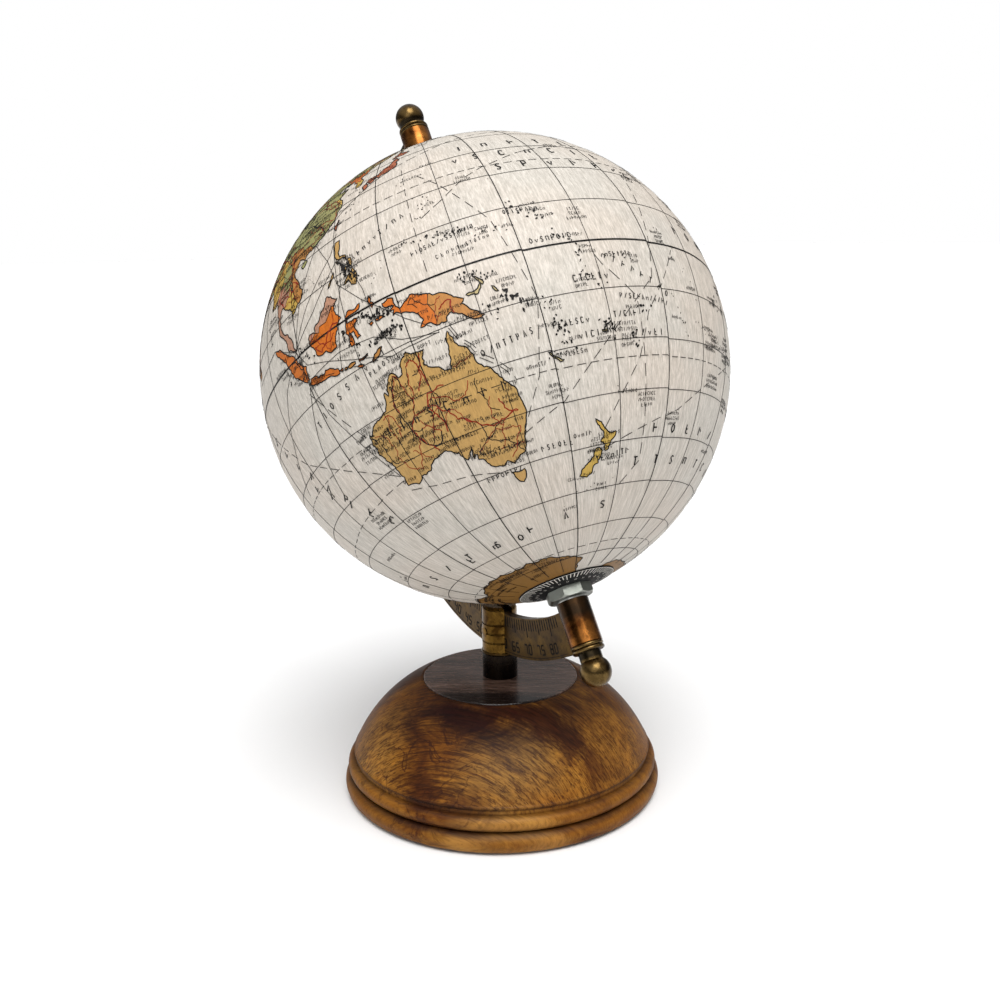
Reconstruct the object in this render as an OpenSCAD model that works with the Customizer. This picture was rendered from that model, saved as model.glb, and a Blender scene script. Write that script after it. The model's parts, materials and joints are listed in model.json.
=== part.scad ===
// Desktop globe on a turned wooden stand.
// Millimetres, +Z up. The origin is the centre of the resting face, under the felt pad.
// The meridian lies in the XZ plane and the north pole leans towards -X.

/* [Ball] */
// Diameter of the finished ball, over the printed map
globe_d = 127; // [100:1:160]
// Wall of each half shell
shell_t = 2.2; // [1.5:0.1:4]
// Thickness of the printed paper
paper_t = 0.3; // [0.2:0.05:0.5]
// Number of printed map gores round the ball
gore_count = 12; // [6:1:18]
// Angle left open between neighbouring gores
gore_gap_deg = 0.05; // [0.02:0.01:0.3]
// Diameter of the round hour dial at each pole
dial_d = 26; // [20:0.5:34]
// Height of the strip inside the shells at the equator
seam_strip_h = 10; // [6:0.5:16]
// Thickness of the strip inside the shells
seam_strip_t = 2; // [1.2:0.1:3]

/* [Axle] */
// Angle of the polar axis from upright
tilt = 33.5; // [15:0.5:40]
// Diameter of the pivot pins
pin_d = 3; // [2.4:0.1:3.6]
// Length of each pivot pin inside the ball
pin_grip = 18; // [8:1:24]
// Radial running clearance of a pin in the axle tube
pin_clear = 0.05; // [0.02:0.01:0.1]
// Wall of the axle tube
tube_t = 1.45; // [1:0.05:2]
// Diameter of the bush through the shell
bush_d = 10; // [9:0.5:12]
// Diameter of the flange inside the shell
bush_flange_d = 17; // [15:0.5:22]
// Length of the bush inside the ball
bush_len = 7; // [5:0.5:10]
// Size of the pole nut across its corners
pole_nut_d = 12.6; // [11.5:0.1:16]
// Thickness of the pole nut
pole_nut_t = 2.7; // [2:0.1:4]
// Number of faces on the pole nut
pole_nut_faces = 8; // [6:1:12]
// Axial play between pole nut and thrust washer
end_play = 0.1; // [0.05:0.05:0.3]
// Thickness of the thrust washers
thrust_t = 0.5; // [0.4:0.1:1]
// Diameter of the thrust washers
thrust_d = 7.6; // [6:0.1:8]

/* [Meridian] */
// Gap from the ball to the inner edge of the meridian
arc_gap = 4.8; // [4.2:0.1:8]
// Width of the flat strip
arc_w = 11.5; // [9:0.1:15]
// Thickness of the flat strip
arc_t = 2.6; // [1.8:0.1:3.2]
// Distance from the polar axis to each end of the strip
arc_end = 1.9; // [1.85:0.05:2.4]
// Diameter of the boss on each end
boss_d = 8.6; // [7.8:0.1:11]
// Length of the boss
boss_len = 11.7; // [10:0.1:14]

/* [Finials] */
// Diameter of the finial ball
finial_ball_d = 8.3; // [7:0.1:10]
// Thickness of each of the two beads
finial_bead_t = 1.1; // [0.8:0.05:1.5]
// Length of the neck between beads and ball, on the lower finial
south_neck_len = 2.3; // [1.5:0.1:3.5]
// Length of the neck between beads and ball, on the upper finial
north_neck_len = 0.6; // [0.3:0.1:3.5]
// Diameter of the neck
finial_neck_d = 6; // [5:0.1:7]
// Depth of the pin in the finial
finial_bore = 5.4; // [3:0.1:6]

/* [Post] */
// Diameter of the post
post_d = 10.1; // [9:0.1:13]
// Height of solid post between disc and meridian
post_foot_h = 8.2; // [7:0.1:14]
// Gap between the top of the post and the ball
post_ball_gap = 3; // [2:0.1:3.6]
// Height of the bead round the post
post_bead_h = 1.2; // [0.8:0.1:2]
// Number of fine turned grooves
groove_count = 3; // [1:1:4]
// Distance between the grooves
groove_pitch = 2.7; // [2:0.1:3]
// Radius of each groove
groove_r = 0.3; // [0.2:0.05:0.4]
// Diameter of the rivet through post and meridian
rivet_d = 2.5; // [2:0.1:3]
// Height of the rivet's domed ends
rivet_head_h = 0.3; // [0.2:0.05:0.6]

/* [Base] */
// Widest diameter of the base
base_d = 92; // [84:1:115]
// Height of the wood above the surface it stands on
base_h = 32.4; // [28:0.1:42]
// Height of the lower bead
foot_bead_h = 5.4; // [4:0.1:5.8]
// Height of the upper bead
upper_bead_h = 4.4; // [3:0.1:4.6]
// How far the upper bead stands back from the lower one
upper_bead_step = 1; // [0.5:0.1:2]
// Height of the straight band over the beads
band_h = 1.9; // [1:0.1:3]
// How far the band stands back from the lower bead
band_step = 3.7; // [2.5:0.1:5]
// Height of the fine ridge under the dome
ridge_h = 1.4; // [0.8:0.1:2]
// How far the dome's foot stands back from the lower bead
dome_step = 3.2; // [2.5:0.1:5]
// Rise of the dome's curve over a straight line
dome_bulge = 2.5; // [1:0.1:4]
// Diameter of the disc let into the top
disc_d = 44.6; // [36:0.2:56]
// Thickness of the disc
disc_t = 3; // [2:0.1:4]
// How far the disc stands proud of the wood
disc_proud = 0.4; // [0.2:0.1:1]
// Radial gap round the disc
disc_clear = 0.1; // [0.05:0.05:0.3]
// Width of the wooden lip round the disc
disc_lip = 0.7; // [0.5:0.1:3]
// Thickness of the felt pad
felt_t = 1.5; // [1:0.1:2.5]
// How far the felt stands proud of the wood
felt_proud = 0.5; // [0.3:0.1:0.9]
// Distance from the edge of the base to the felt
felt_margin = 8.2; // [5:0.1:14]

/* [Fastening under the post] */
// Diameter of the threaded stud
stud_d = 5; // [4:0.5:6]
// Radial clearance of the stud in disc and wood
stud_clear = 0.2; // [0.1:0.05:0.5]
// Depth of the stud in the post
stud_grip = 6; // [4:0.1:6.2]
// Length of stud left over below the nut
stud_tail = 1.5; // [0.5:0.5:3]
// Size of the stud nut across its corners
stud_nut_d = 9.2; // [8.5:0.1:12]
// Thickness of the stud nut
stud_nut_t = 4; // [3:0.1:5]
// Diameter of the stud washer
stud_washer_d = 14; // [12:0.5:18]
// Thickness of the stud washer
stud_washer_t = 1; // [0.6:0.1:1.6]
// Diameter of the counterbore
well_d = 20; // [18.5:0.5:28]
// Height of the counterbore's ceiling over the resting surface
well_top = 14; // [10:0.5:18]

/* [Hidden] */

// Smoothness of the round shapes
$fn = 96;
// Radial room left where a strip edge seats in a curved cut
seat_clear = 0.05;
// Length by which a cutting shape overruns a face
over = 1;
// Radius of the foot bead's lower corner, as a share of the bead's own
heel_share = 0.6;
// How far that corner's centre stands in from the edge, as a share of the bead's radius
heel_inset = 0.7;
// How far a ridge or a bead sinks into its wall, as a share of its height
ridge_sink = 0.25;
// Rounding of the disc's top edge
disc_edge_r = 0.4;
// Rounding of the post's top edge
post_edge_r = 1.2;
// Radial room in the ends of the meridian round the first bead of each finial
finial_clear = 0.3;
// Chamfer of the pole nut's outer face
nut_chamfer = 0.5;

// Ball
globe_r = globe_d / 2;
shell_r = globe_r - paper_t;
shell_in_r = shell_r - shell_t;
dial_r = globe_r + paper_t;
gore_angle = 360 / gore_count - gore_gap_deg;

// Distances along the polar axis, from the centre of the ball
bush_r = bush_d / 2;
bush_top = sqrt(dial_r * dial_r - pow(bush_r + seat_clear, 2));
pole_nut_top = bush_top + pole_nut_t;
thrust_base = pole_nut_top + end_play;
boss_base = thrust_base + thrust_t;
boss_top = boss_base + boss_len;
neck_base = boss_top + 2 * finial_bead_t;
finial_ball_r = finial_ball_d / 2;
finial_ball_rise = sqrt(pow(finial_ball_r, 2) - pow(finial_neck_d / 2, 2));
pin_top = boss_top + finial_bore;
pin_base = pole_nut_top - pin_grip;
tube_top = pole_nut_top - end_play;

// Radii round the polar axis
pin_r = pin_d / 2;
tube_in_r = pin_r + pin_clear;
tube_r = tube_in_r + tube_t;
boss_r = boss_d / 2;

// Meridian
arc_in_r = globe_r + arc_gap;
arc_out_r = arc_in_r + arc_w;
arc_mid_r = (arc_in_r + arc_out_r) / 2;

// Heights over the resting surface
disc_top = base_h + disc_proud;
globe_z = disc_top + post_foot_h + arc_out_r;
post_r = post_d / 2;
post_h = globe_z - globe_r - post_ball_gap - disc_top;
rivet_z = globe_z - arc_mid_r;

// Base profile
base_r = base_d / 2;
foot_r = foot_bead_h / 2;
foot_z = felt_proud + foot_r;
heel_r = heel_share * foot_r;
heel_x = base_r - heel_inset * foot_r;
upper_bead_r = upper_bead_h / 2;
upper_bead_z = felt_proud + foot_bead_h + upper_bead_r;
band_top = upper_bead_z + upper_bead_r + band_h;
dome_foot_r = base_r - dome_step;
dome_foot_z = band_top + ridge_h / 2;
disc_r = disc_d / 2;
dome_top_r = disc_r + disc_clear + disc_lip;
dome_dx = dome_foot_r - dome_top_r;
dome_dz = base_h - dome_foot_z;
dome_chord = sqrt(dome_dx * dome_dx + dome_dz * dome_dz);
dome_r = (dome_chord * dome_chord / 4 + dome_bulge * dome_bulge) / (2 * dome_bulge);
dome_back = (dome_r - dome_bulge) / dome_chord;
dome_cx = (dome_foot_r + dome_top_r) / 2 - dome_back * dome_dz;
dome_cz = (dome_foot_z + base_h) / 2 - dome_back * dome_dx;
stud_r = stud_d / 2;

// Colours
wood_col = [0.56, 0.33, 0.15];
disc_col = [0.16, 0.10, 0.09];
felt_col = [0.10, 0.13, 0.10];
brass_col = [0.50, 0.38, 0.16];
copper_col = [0.55, 0.30, 0.12];
steel_col = [0.62, 0.62, 0.60];
nickel_col = [0.74, 0.74, 0.70];
paper_col = [0.87, 0.84, 0.79];
ink_col = [0.06, 0.06, 0.07];
shell_col = [0.80, 0.78, 0.72];

// Puts its children on the polar axis, with +Z towards the north pole
module on_axis() {
    translate([0, 0, globe_z]) rotate([0, -tilt, 0]) children();
}

// The same for the south pole, with +Z towards the south pole
module on_south_axis() {
    on_axis() mirror([0, 0, 1]) children();
}

// A tube or washer standing on z0
module ring(r_out, r_in, z0, h) {
    translate([0, 0, z0]) difference() {
        cylinder(r = r_out, h = h);
        translate([0, 0, -over]) cylinder(r = r_in, h = h + 2 * over);
    }
}

// The half section of a spherical skin, from x0 to x1 and from y0 to y1
module skin_section(r_out, r_in, x0, x1, y0, y1) {
    intersection() {
        difference() {
            circle(r = r_out);
            circle(r = r_in);
        }
        translate([x0, y0]) square([x1 - x0, y1 - y0]);
    }
}

// The flat half ring of the meridian, on the -X side of the polar axis
module arc_blank(r_in, r_out, end) {
    rotate([90, 0, 0]) translate([0, 0, -arc_t / 2]) linear_extrude(arc_t) difference() {
        circle(r = r_out, $fn = 180);
        circle(r = r_in, $fn = 180);
        translate([-end, -r_out - over]) square([r_out + end + over, 2 * (r_out + over)]);
    }
}

// A rod along Y through post and meridian
module cross_rod(r, len) {
    translate([0, len / 2, rivet_z]) rotate([90, 0, 0]) cylinder(r = r, h = len, $fn = 48);
}

// Base

module base_section() {
    translate([base_r - foot_r, foot_z]) circle(r = foot_r);
    translate([0, felt_proud]) square([base_r - foot_r, foot_bead_h]);
    translate([heel_x, felt_proud + heel_r]) circle(r = heel_r);
    translate([0, felt_proud]) square([heel_x, foot_r]);
    translate([base_r - upper_bead_step - upper_bead_r, upper_bead_z]) circle(r = upper_bead_r);
    translate([0, foot_z]) square([base_r - upper_bead_step - upper_bead_r, band_top - foot_z]);
    translate([0, foot_z]) square([base_r - band_step, dome_foot_z - foot_z]);
    translate([dome_foot_r - ridge_sink * ridge_h, band_top]) circle(r = ridge_h / 2);
    intersection() {
        translate([dome_cx, dome_cz]) circle(r = dome_r, $fn = 180);
        translate([0, band_top]) square([base_r, base_h - band_top]);
    }
}

module base() {
    color(wood_col) difference() {
        rotate_extrude() base_section();
        translate([0, 0, disc_top - disc_t]) cylinder(r = disc_r + disc_clear, h = disc_t + over);
        translate([0, 0, felt_proud - over])
            cylinder(r = base_r - felt_margin, h = felt_t - felt_proud + over);
        cylinder(r = well_d / 2, h = well_top);
        cylinder(r = stud_r + stud_clear, h = base_h);
    }
}

module base_disc() {
    color(disc_col) translate([0, 0, disc_top - disc_t]) difference() {
        rotate_extrude() {
            square([disc_r, disc_t - disc_edge_r]);
            square([disc_r - disc_edge_r, disc_t]);
            translate([disc_r - disc_edge_r, disc_t - disc_edge_r]) circle(r = disc_edge_r, $fn = 32);
        }
        translate([0, 0, -over]) cylinder(r = stud_r + stud_clear, h = disc_t + 2 * over);
    }
}

module felt_pad() {
    color(felt_col) cylinder(r = base_r - felt_margin, h = felt_t);
}

// Post and its fastening

module post_section() {
    bead_z = post_foot_h - post_bead_h / 2;
    difference() {
        union() {
            square([post_r, post_h - post_edge_r]);
            square([post_r - post_edge_r, post_h]);
            translate([post_r - post_edge_r, post_h - post_edge_r]) circle(r = post_edge_r, $fn = 48);
        }
        for (i = [1 : groove_count])
            translate([post_r, post_foot_h + i * groove_pitch]) circle(r = groove_r, $fn = 32);
    }
    translate([post_r - ridge_sink * post_bead_h, bead_z]) circle(r = post_bead_h / 2, $fn = 32);
}

module post() {
    color(brass_col) difference() {
        translate([0, 0, disc_top]) rotate_extrude() post_section();
        translate([0, arc_t / 2, globe_z]) rotate([90, 0, 0])
            cylinder(r = arc_out_r + seat_clear, h = arc_t, $fn = 180);
        cross_rod(rivet_d / 2, 2 * post_d);
        translate([0, 0, disc_top - over]) cylinder(r = stud_r, h = stud_grip + over);
    }
}

module post_stud() {
    z0 = well_top - stud_washer_t - stud_nut_t - stud_tail;
    color(steel_col) translate([0, 0, z0]) cylinder(r = stud_r, h = disc_top + stud_grip - z0);
}

module stud_washer() {
    color(steel_col) ring(stud_washer_d / 2, stud_r, well_top - stud_washer_t, stud_washer_t);
}

module stud_nut() {
    color(steel_col) translate([0, 0, well_top - stud_washer_t - stud_nut_t]) difference() {
        cylinder(d = stud_nut_d, h = stud_nut_t, $fn = 6);
        translate([0, 0, -over]) cylinder(r = stud_r, h = stud_nut_t + 2 * over);
    }
}

// Meridian and its ends

module meridian_arc() {
    color(brass_col) difference() {
        on_axis() arc_blank(arc_in_r, arc_out_r, arc_end);
        for (side = [0, 1])
            on_axis() mirror([0, 0, side]) translate([0, 0, boss_top])
                cylinder(r = boss_r + finial_clear, h = arc_w);
        cross_rod(rivet_d / 2, 2 * post_d);
    }
}

module arc_rivet() {
    reach = post_r + rivet_head_h;
    color(brass_col) intersection() {
        cross_rod(rivet_d / 2, 2 * reach);
        translate([0, 0, rivet_z]) sphere(r = reach);
    }
}

module boss() {
    difference() {
        translate([0, 0, boss_base]) cylinder(r = boss_r, h = boss_len);
        translate([0, 0, boss_base - over]) cylinder(r = pin_r, h = boss_len + 2 * over);
        arc_blank(arc_in_r - seat_clear, arc_out_r + over, arc_end);
    }
}

module north_boss() { color(copper_col) on_axis() boss(); }
module south_boss() { color(copper_col) on_south_axis() boss(); }

module finial(neck_len) {
    finial_ball_z = neck_base + neck_len + finial_ball_rise;
    difference() {
        rotate_extrude() {
            translate([0, boss_top]) square([finial_neck_d / 2, finial_ball_z - boss_top]);
            for (i = [0, 1]) translate([0, boss_top + i * finial_bead_t]) {
                square([boss_r - finial_bead_t / 2, finial_bead_t]);
                translate([boss_r - finial_bead_t / 2, finial_bead_t / 2])
                    circle(d = finial_bead_t, $fn = 32);
            }
            intersection() {
                translate([0, finial_ball_z]) circle(r = finial_ball_r);
                translate([0, boss_top]) square([finial_ball_d, globe_d]);
            }
        }
        translate([0, 0, boss_top - over]) cylinder(r = pin_r, h = finial_bore + over);
    }
}

module north_finial() { color(brass_col) on_axis() finial(north_neck_len); }
module south_finial() { color(brass_col) on_south_axis() finial(south_neck_len); }

module pivot_pin() { translate([0, 0, pin_base]) cylinder(r = pin_r, h = pin_top - pin_base); }

module north_pivot_pin() { color(steel_col) on_axis() pivot_pin(); }
module south_pivot_pin() { color(steel_col) on_south_axis() pivot_pin(); }

module thrust_washer() { ring(thrust_d / 2, pin_r, thrust_base, thrust_t); }

module north_thrust_washer() { color(steel_col) on_axis() thrust_washer(); }
module south_thrust_washer() { color(steel_col) on_south_axis() thrust_washer(); }

// Ball

module hemisphere() {
    rotate_extrude($fn = 180) skin_section(shell_r, shell_in_r, bush_r, globe_d, 0, globe_d, $fn = 180);
}

module north_hemisphere() { color(shell_col) on_axis() hemisphere(); }
module south_hemisphere() { color(shell_col) on_south_axis() hemisphere(); }

module equator_strip() {
    color(shell_col) on_axis() rotate_extrude($fn = 180) intersection() {
        circle(r = shell_in_r, $fn = 180);
        translate([shell_in_r - seam_strip_t, -seam_strip_h / 2]) square([seam_strip_t * 2, seam_strip_h]);
    }
}

module map_gores() {
    color(paper_col) on_axis() for (i = [0 : gore_count - 1]) rotate([0, 0, i * 360 / gore_count])
        rotate_extrude(angle = gore_angle)
            skin_section(globe_r, shell_r, bush_r + seat_clear, globe_d, -globe_d, globe_d, $fn = 180);
}

module hour_dial() {
    rotate_extrude() skin_section(dial_r, globe_r, bush_r + seat_clear, dial_d / 2, 0, globe_d, $fn = 180);
}

module north_hour_dial() { color(ink_col) on_axis() hour_dial(); }
module south_hour_dial() { color(ink_col) on_south_axis() hour_dial(); }

module axle_tube() { color(steel_col) on_axis() ring(tube_r, tube_in_r, -tube_top, 2 * tube_top); }

module bush() {
    difference() {
        union() {
            translate([0, 0, bush_top - bush_len]) cylinder(r = bush_r, h = bush_len);
            intersection() {
                translate([0, 0, bush_top - bush_len]) cylinder(d = bush_flange_d, h = bush_len);
                sphere(r = shell_in_r, $fn = 180);
            }
        }
        cylinder(r = tube_r, h = globe_d);
    }
}

module north_bush() { color(wood_col) on_axis() bush(); }
module south_bush() { color(wood_col) on_south_axis() bush(); }

module pole_nut() {
    nut_r = pole_nut_d / 2;
    difference() {
        intersection() {
            translate([0, 0, bush_top]) cylinder(r = nut_r, h = pole_nut_t, $fn = pole_nut_faces);
            rotate_extrude() {
                translate([0, bush_top]) square([nut_r, pole_nut_t - nut_chamfer]);
                polygon([
                    [0, pole_nut_top - nut_chamfer], [nut_r, pole_nut_top - nut_chamfer],
                    [nut_r - nut_chamfer, pole_nut_top], [0, pole_nut_top]
                ]);
            }
        }
        cylinder(r = tube_r, h = globe_d);
    }
}

module north_pole_nut() { color(nickel_col) on_axis() pole_nut(); }
module south_pole_nut() { color(nickel_col) on_south_axis() pole_nut(); }

base();
base_disc();
felt_pad();
post();
post_stud();
stud_washer();
stud_nut();
meridian_arc();
arc_rivet();
north_boss();
south_boss();
north_finial();
south_finial();
north_pivot_pin();
south_pivot_pin();
north_thrust_washer();
south_thrust_washer();
north_hemisphere();
south_hemisphere();
equator_strip();
map_gores();
north_hour_dial();
south_hour_dial();
axle_tube();
north_bush();
south_bush();
north_pole_nut();
south_pole_nut();
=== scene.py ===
"""Looks of the desktop globe: the printed map, the engraved brass, the turned wood and the studio.

Metres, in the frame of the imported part. The map is laid out in degrees of longitude and latitude.
"""
import json
import math
import random

import bpy
from mathutils import Matrix, Vector
from mathutils.geometry import delaunay_2d_cdt


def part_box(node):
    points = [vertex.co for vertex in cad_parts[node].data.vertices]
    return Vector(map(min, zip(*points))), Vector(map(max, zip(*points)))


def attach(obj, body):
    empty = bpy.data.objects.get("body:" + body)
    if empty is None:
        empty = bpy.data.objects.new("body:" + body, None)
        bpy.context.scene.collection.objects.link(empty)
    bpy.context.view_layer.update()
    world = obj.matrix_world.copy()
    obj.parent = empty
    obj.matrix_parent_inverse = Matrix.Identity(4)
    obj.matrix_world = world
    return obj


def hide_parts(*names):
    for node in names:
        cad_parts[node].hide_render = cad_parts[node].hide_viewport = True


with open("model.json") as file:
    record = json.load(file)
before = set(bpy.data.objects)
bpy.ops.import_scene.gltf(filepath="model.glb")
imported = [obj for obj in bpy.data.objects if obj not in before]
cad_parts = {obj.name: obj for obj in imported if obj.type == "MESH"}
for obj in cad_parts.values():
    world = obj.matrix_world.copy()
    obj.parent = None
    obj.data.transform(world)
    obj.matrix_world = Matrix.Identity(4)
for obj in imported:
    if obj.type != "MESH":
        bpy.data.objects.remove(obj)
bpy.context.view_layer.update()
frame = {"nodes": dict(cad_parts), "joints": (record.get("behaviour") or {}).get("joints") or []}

MM = 0.001
DEG = math.pi / 180
# Lengths and angles under this count as nothing
TINY = 1e-9

# The ball's own axes: POLE to the north pole, EAST_0 and EAST_90 across it
SPIN = frame["joints"][0]
CENTRE = Vector(SPIN["pos_m"])
POLE = Vector(SPIN["axis"]).normalized()
EAST_0 = Vector((POLE.z, 0, -POLE.x))
EAST_90 = POLE.cross(EAST_0)
TILT = math.atan2(-POLE.x, POLE.z)


def reach(node):
    """Largest distance of a node's surface from the centre of the ball."""
    return max((v.co - CENTRE).length for v in frame["nodes"][node].data.vertices)


def axial_span(node):
    """Lowest and highest distance of a node along the polar axis, and its largest radius round it."""
    along, away = [], []
    for v in frame["nodes"][node].data.vertices:
        arm = v.co - CENTRE
        along.append(arm.dot(POLE))
        away.append((arm - along[-1] * POLE).length)
    return min(along), max(along), max(away)


BALL_R = reach("map_gores")
DIAL_R = reach("south_hour_dial")
DIAL_EDGE = axial_span("south_hour_dial")[2]

# Layers of the printed paper: the sheet itself and the inks over it, a hair apart
PAPER_R = BALL_R - 0.12 * MM
LAND_R = BALL_R - 0.08 * MM
INK_R = BALL_R - 0.04 * MM
TEXT_R = BALL_R - 0.005 * MM
INK_T = 0.03 * MM
# How far each kind of line lies over INK_R, so that no two share a height
RIVER_UP, BORDER_UP, LANE_UP = 0.003 * MM, 0.006 * MM, 0.008 * MM
ROUTE_UP, COAST_UP, ISLAND_UP = 0.010 * MM, 0.012 * MM, 0.015 * MM


# ---------------------------------------------------------------- node helpers

def new_material(name):
    """A new node material, with its tree and its shader."""
    material = bpy.data.materials.new(name)
    material.use_nodes = True
    tree = material.node_tree
    return material, tree, tree.nodes["Principled BSDF"]


def node(tree, kind, **settings):
    """A new node; settings are its properties, or its inputs where the name is an input's."""
    made = tree.nodes.new(kind)
    for key, value in settings.items():
        if hasattr(made, key):
            setattr(made, key, value)
        else:
            made.inputs[key.replace("_", " ")].default_value = value
    return made


def math_node(tree, operation, a, b=None):
    """The result of a maths node, whose inputs are numbers or sockets."""
    made = tree.nodes.new("ShaderNodeMath")
    made.operation = operation
    for socket, value in zip(made.inputs, (a, b)):
        if value is None:
            continue
        if isinstance(value, (int, float)):
            socket.default_value = value
        else:
            tree.links.new(value, socket)
    return made.outputs[0]


def times(tree, a, b):
    return math_node(tree, "MULTIPLY", a, b)


def split_xyz(tree, vector):
    """The x, y and z sockets of a vector."""
    made = tree.nodes.new("ShaderNodeSeparateXYZ")
    tree.links.new(vector, made.inputs[0])
    return made.outputs


def mix_colour(tree, factor, a, b, blend="MIX"):
    made = tree.nodes.new("ShaderNodeMix")
    made.data_type = "RGBA"
    made.blend_type = blend
    for socket, value in ((made.inputs[0], factor), (made.inputs[6], a), (made.inputs[7], b)):
        if isinstance(value, (int, float)):
            socket.default_value = value
        elif isinstance(value, tuple):
            socket.default_value = (*value, 1)
        else:
            tree.links.new(value, socket)
    return made.outputs[2]


def ramp(tree, factor, *stops):
    """A colour ramp with stops of (position, colour or grey)."""
    made = tree.nodes.new("ShaderNodeValToRGB")
    tree.links.new(factor, made.inputs[0])
    elements = made.color_ramp.elements
    while len(elements) < len(stops):
        elements.new(0.5)
    for element, (position, colour) in zip(elements, stops):
        element.position = position
        element.color = (*colour, 1) if isinstance(colour, tuple) else (colour, colour, colour, 1)
    return made.outputs[0]


def noise(tree, vector, scale, detail=3.0, roughness=0.55, distortion=0.0):
    made = node(tree, "ShaderNodeTexNoise", Scale=scale, Detail=detail, Roughness=roughness,
                Distortion=distortion)
    tree.links.new(vector, made.inputs["Vector"])
    return made.outputs[0]


def place(tree, location=(0, 0, 0), rotation=(0, 0, 0), scale=(1, 1, 1)):
    """Object coordinates in metres, moved, then turned, then stretched."""
    coords = tree.nodes.new("ShaderNodeTexCoord")
    mapping = node(tree, "ShaderNodeMapping", vector_type="TEXTURE")
    mapping.inputs["Location"].default_value = location
    mapping.inputs["Rotation"].default_value = rotation
    mapping.inputs["Scale"].default_value = [1 / s for s in scale]
    tree.links.new(coords.outputs["Object"], mapping.inputs["Vector"])
    return mapping.outputs[0]


def set_roughness(tree, shader, pattern, spread, low):
    """Roughness that rises with a pattern, from low by spread."""
    level = math_node(tree, "MULTIPLY_ADD", pattern, spread)
    level.node.inputs[2].default_value = low
    tree.links.new(level, shader.inputs["Roughness"])


def bump(tree, shader, height, strength, distance):
    made = node(tree, "ShaderNodeBump", Strength=strength, Distance=distance)
    tree.links.new(height, made.inputs["Height"])
    tree.links.new(made.outputs[0], shader.inputs["Normal"])


def rgb(hexa):
    """Linear colour from an sRGB hex string."""
    parts = [int(hexa[i:i + 2], 16) / 255 for i in (0, 2, 4)]
    return tuple(c / 12.92 if c <= 0.04045 else ((c + 0.055) / 1.055) ** 2.4 for c in parts)


def scaled(colour, *factors):
    """A colour times one factor, or times one for each channel, and no brighter than white."""
    each = factors if len(factors) == 3 else factors * 3
    return tuple(min(1.0, c * f) for c, f in zip(colour, each))


# ---------------------------------------------------------------- materials

def meridian_space(tree, across, along):
    """Coordinates on the ball that stretch a pattern along the meridians."""
    x, y, z = split_xyz(tree, place(tree, location=CENTRE, rotation=(0, -TILT, 0)))
    flat = math_node(tree, "SQRT", math_node(tree, "ADD", times(tree, x, x), times(tree, y, y)))
    joined = tree.nodes.new("ShaderNodeCombineXYZ")
    parts = (times(tree, math_node(tree, "DIVIDE", x, flat), across),
             times(tree, math_node(tree, "DIVIDE", y, flat), across),
             times(tree, z, along))
    for part, socket in zip(parts, joined.inputs):
        tree.links.new(part, socket)
    return joined.outputs[0]


def printed_paper(name, colour, streak=0.5, blotch=0.5, rough=0.52):
    """Ink on varnished paper, with fine streaks along the meridians and faint warm and cool blotches."""
    material, tree, shader = new_material(name)
    fine = noise(tree, meridian_space(tree, 135, 400), 1.0, 5, 0.8)
    coarse = noise(tree, meridian_space(tree, 52, 210), 1.0, 5, 0.75)
    tint = noise(tree, place(tree), 42, 2, 0.5)
    dark = scaled(colour, 0.54, 0.53, 0.50)
    light = scaled(colour, 1.24)
    warm = scaled(colour, 1.07, 0.99, 0.90)
    cool = scaled(colour, 0.93, 0.96, 0.93)
    streaks = mix_colour(tree, ramp(tree, fine, (0.36, 0.0), (0.62, 1.0)), dark, light)
    tints = mix_colour(tree, ramp(tree, tint, (0.36, 0.0), (0.64, 1.0)), cool, warm)
    base = mix_colour(tree, streak, tints, streaks)
    cover = times(tree, ramp(tree, coarse, (0.45, 0.0), (0.7, 1.0)), blotch * 0.5)
    tree.links.new(mix_colour(tree, cover, base, dark), shader.inputs["Base Color"])
    set_roughness(tree, shader, fine, 0.16, rough - 0.08)
    shader.inputs["Specular IOR Level"].default_value = 0.35
    bump(tree, shader, fine, 0.12, 0.05 * MM)
    return material


def ink(name, colour, rough=0.5):
    """Printing ink, a little uneven."""
    material, tree, shader = new_material(name)
    grain = noise(tree, place(tree), 900, 2)
    lighter = tuple(c + 0.02 for c in colour)
    tree.links.new(mix_colour(tree, ramp(tree, grain, (0.4, 0.0), (0.75, 1.0)), colour, lighter),
                   shader.inputs["Base Color"])
    shader.inputs["Roughness"].default_value = rough
    shader.inputs["Specular IOR Level"].default_value = 0.12
    return material


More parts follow.
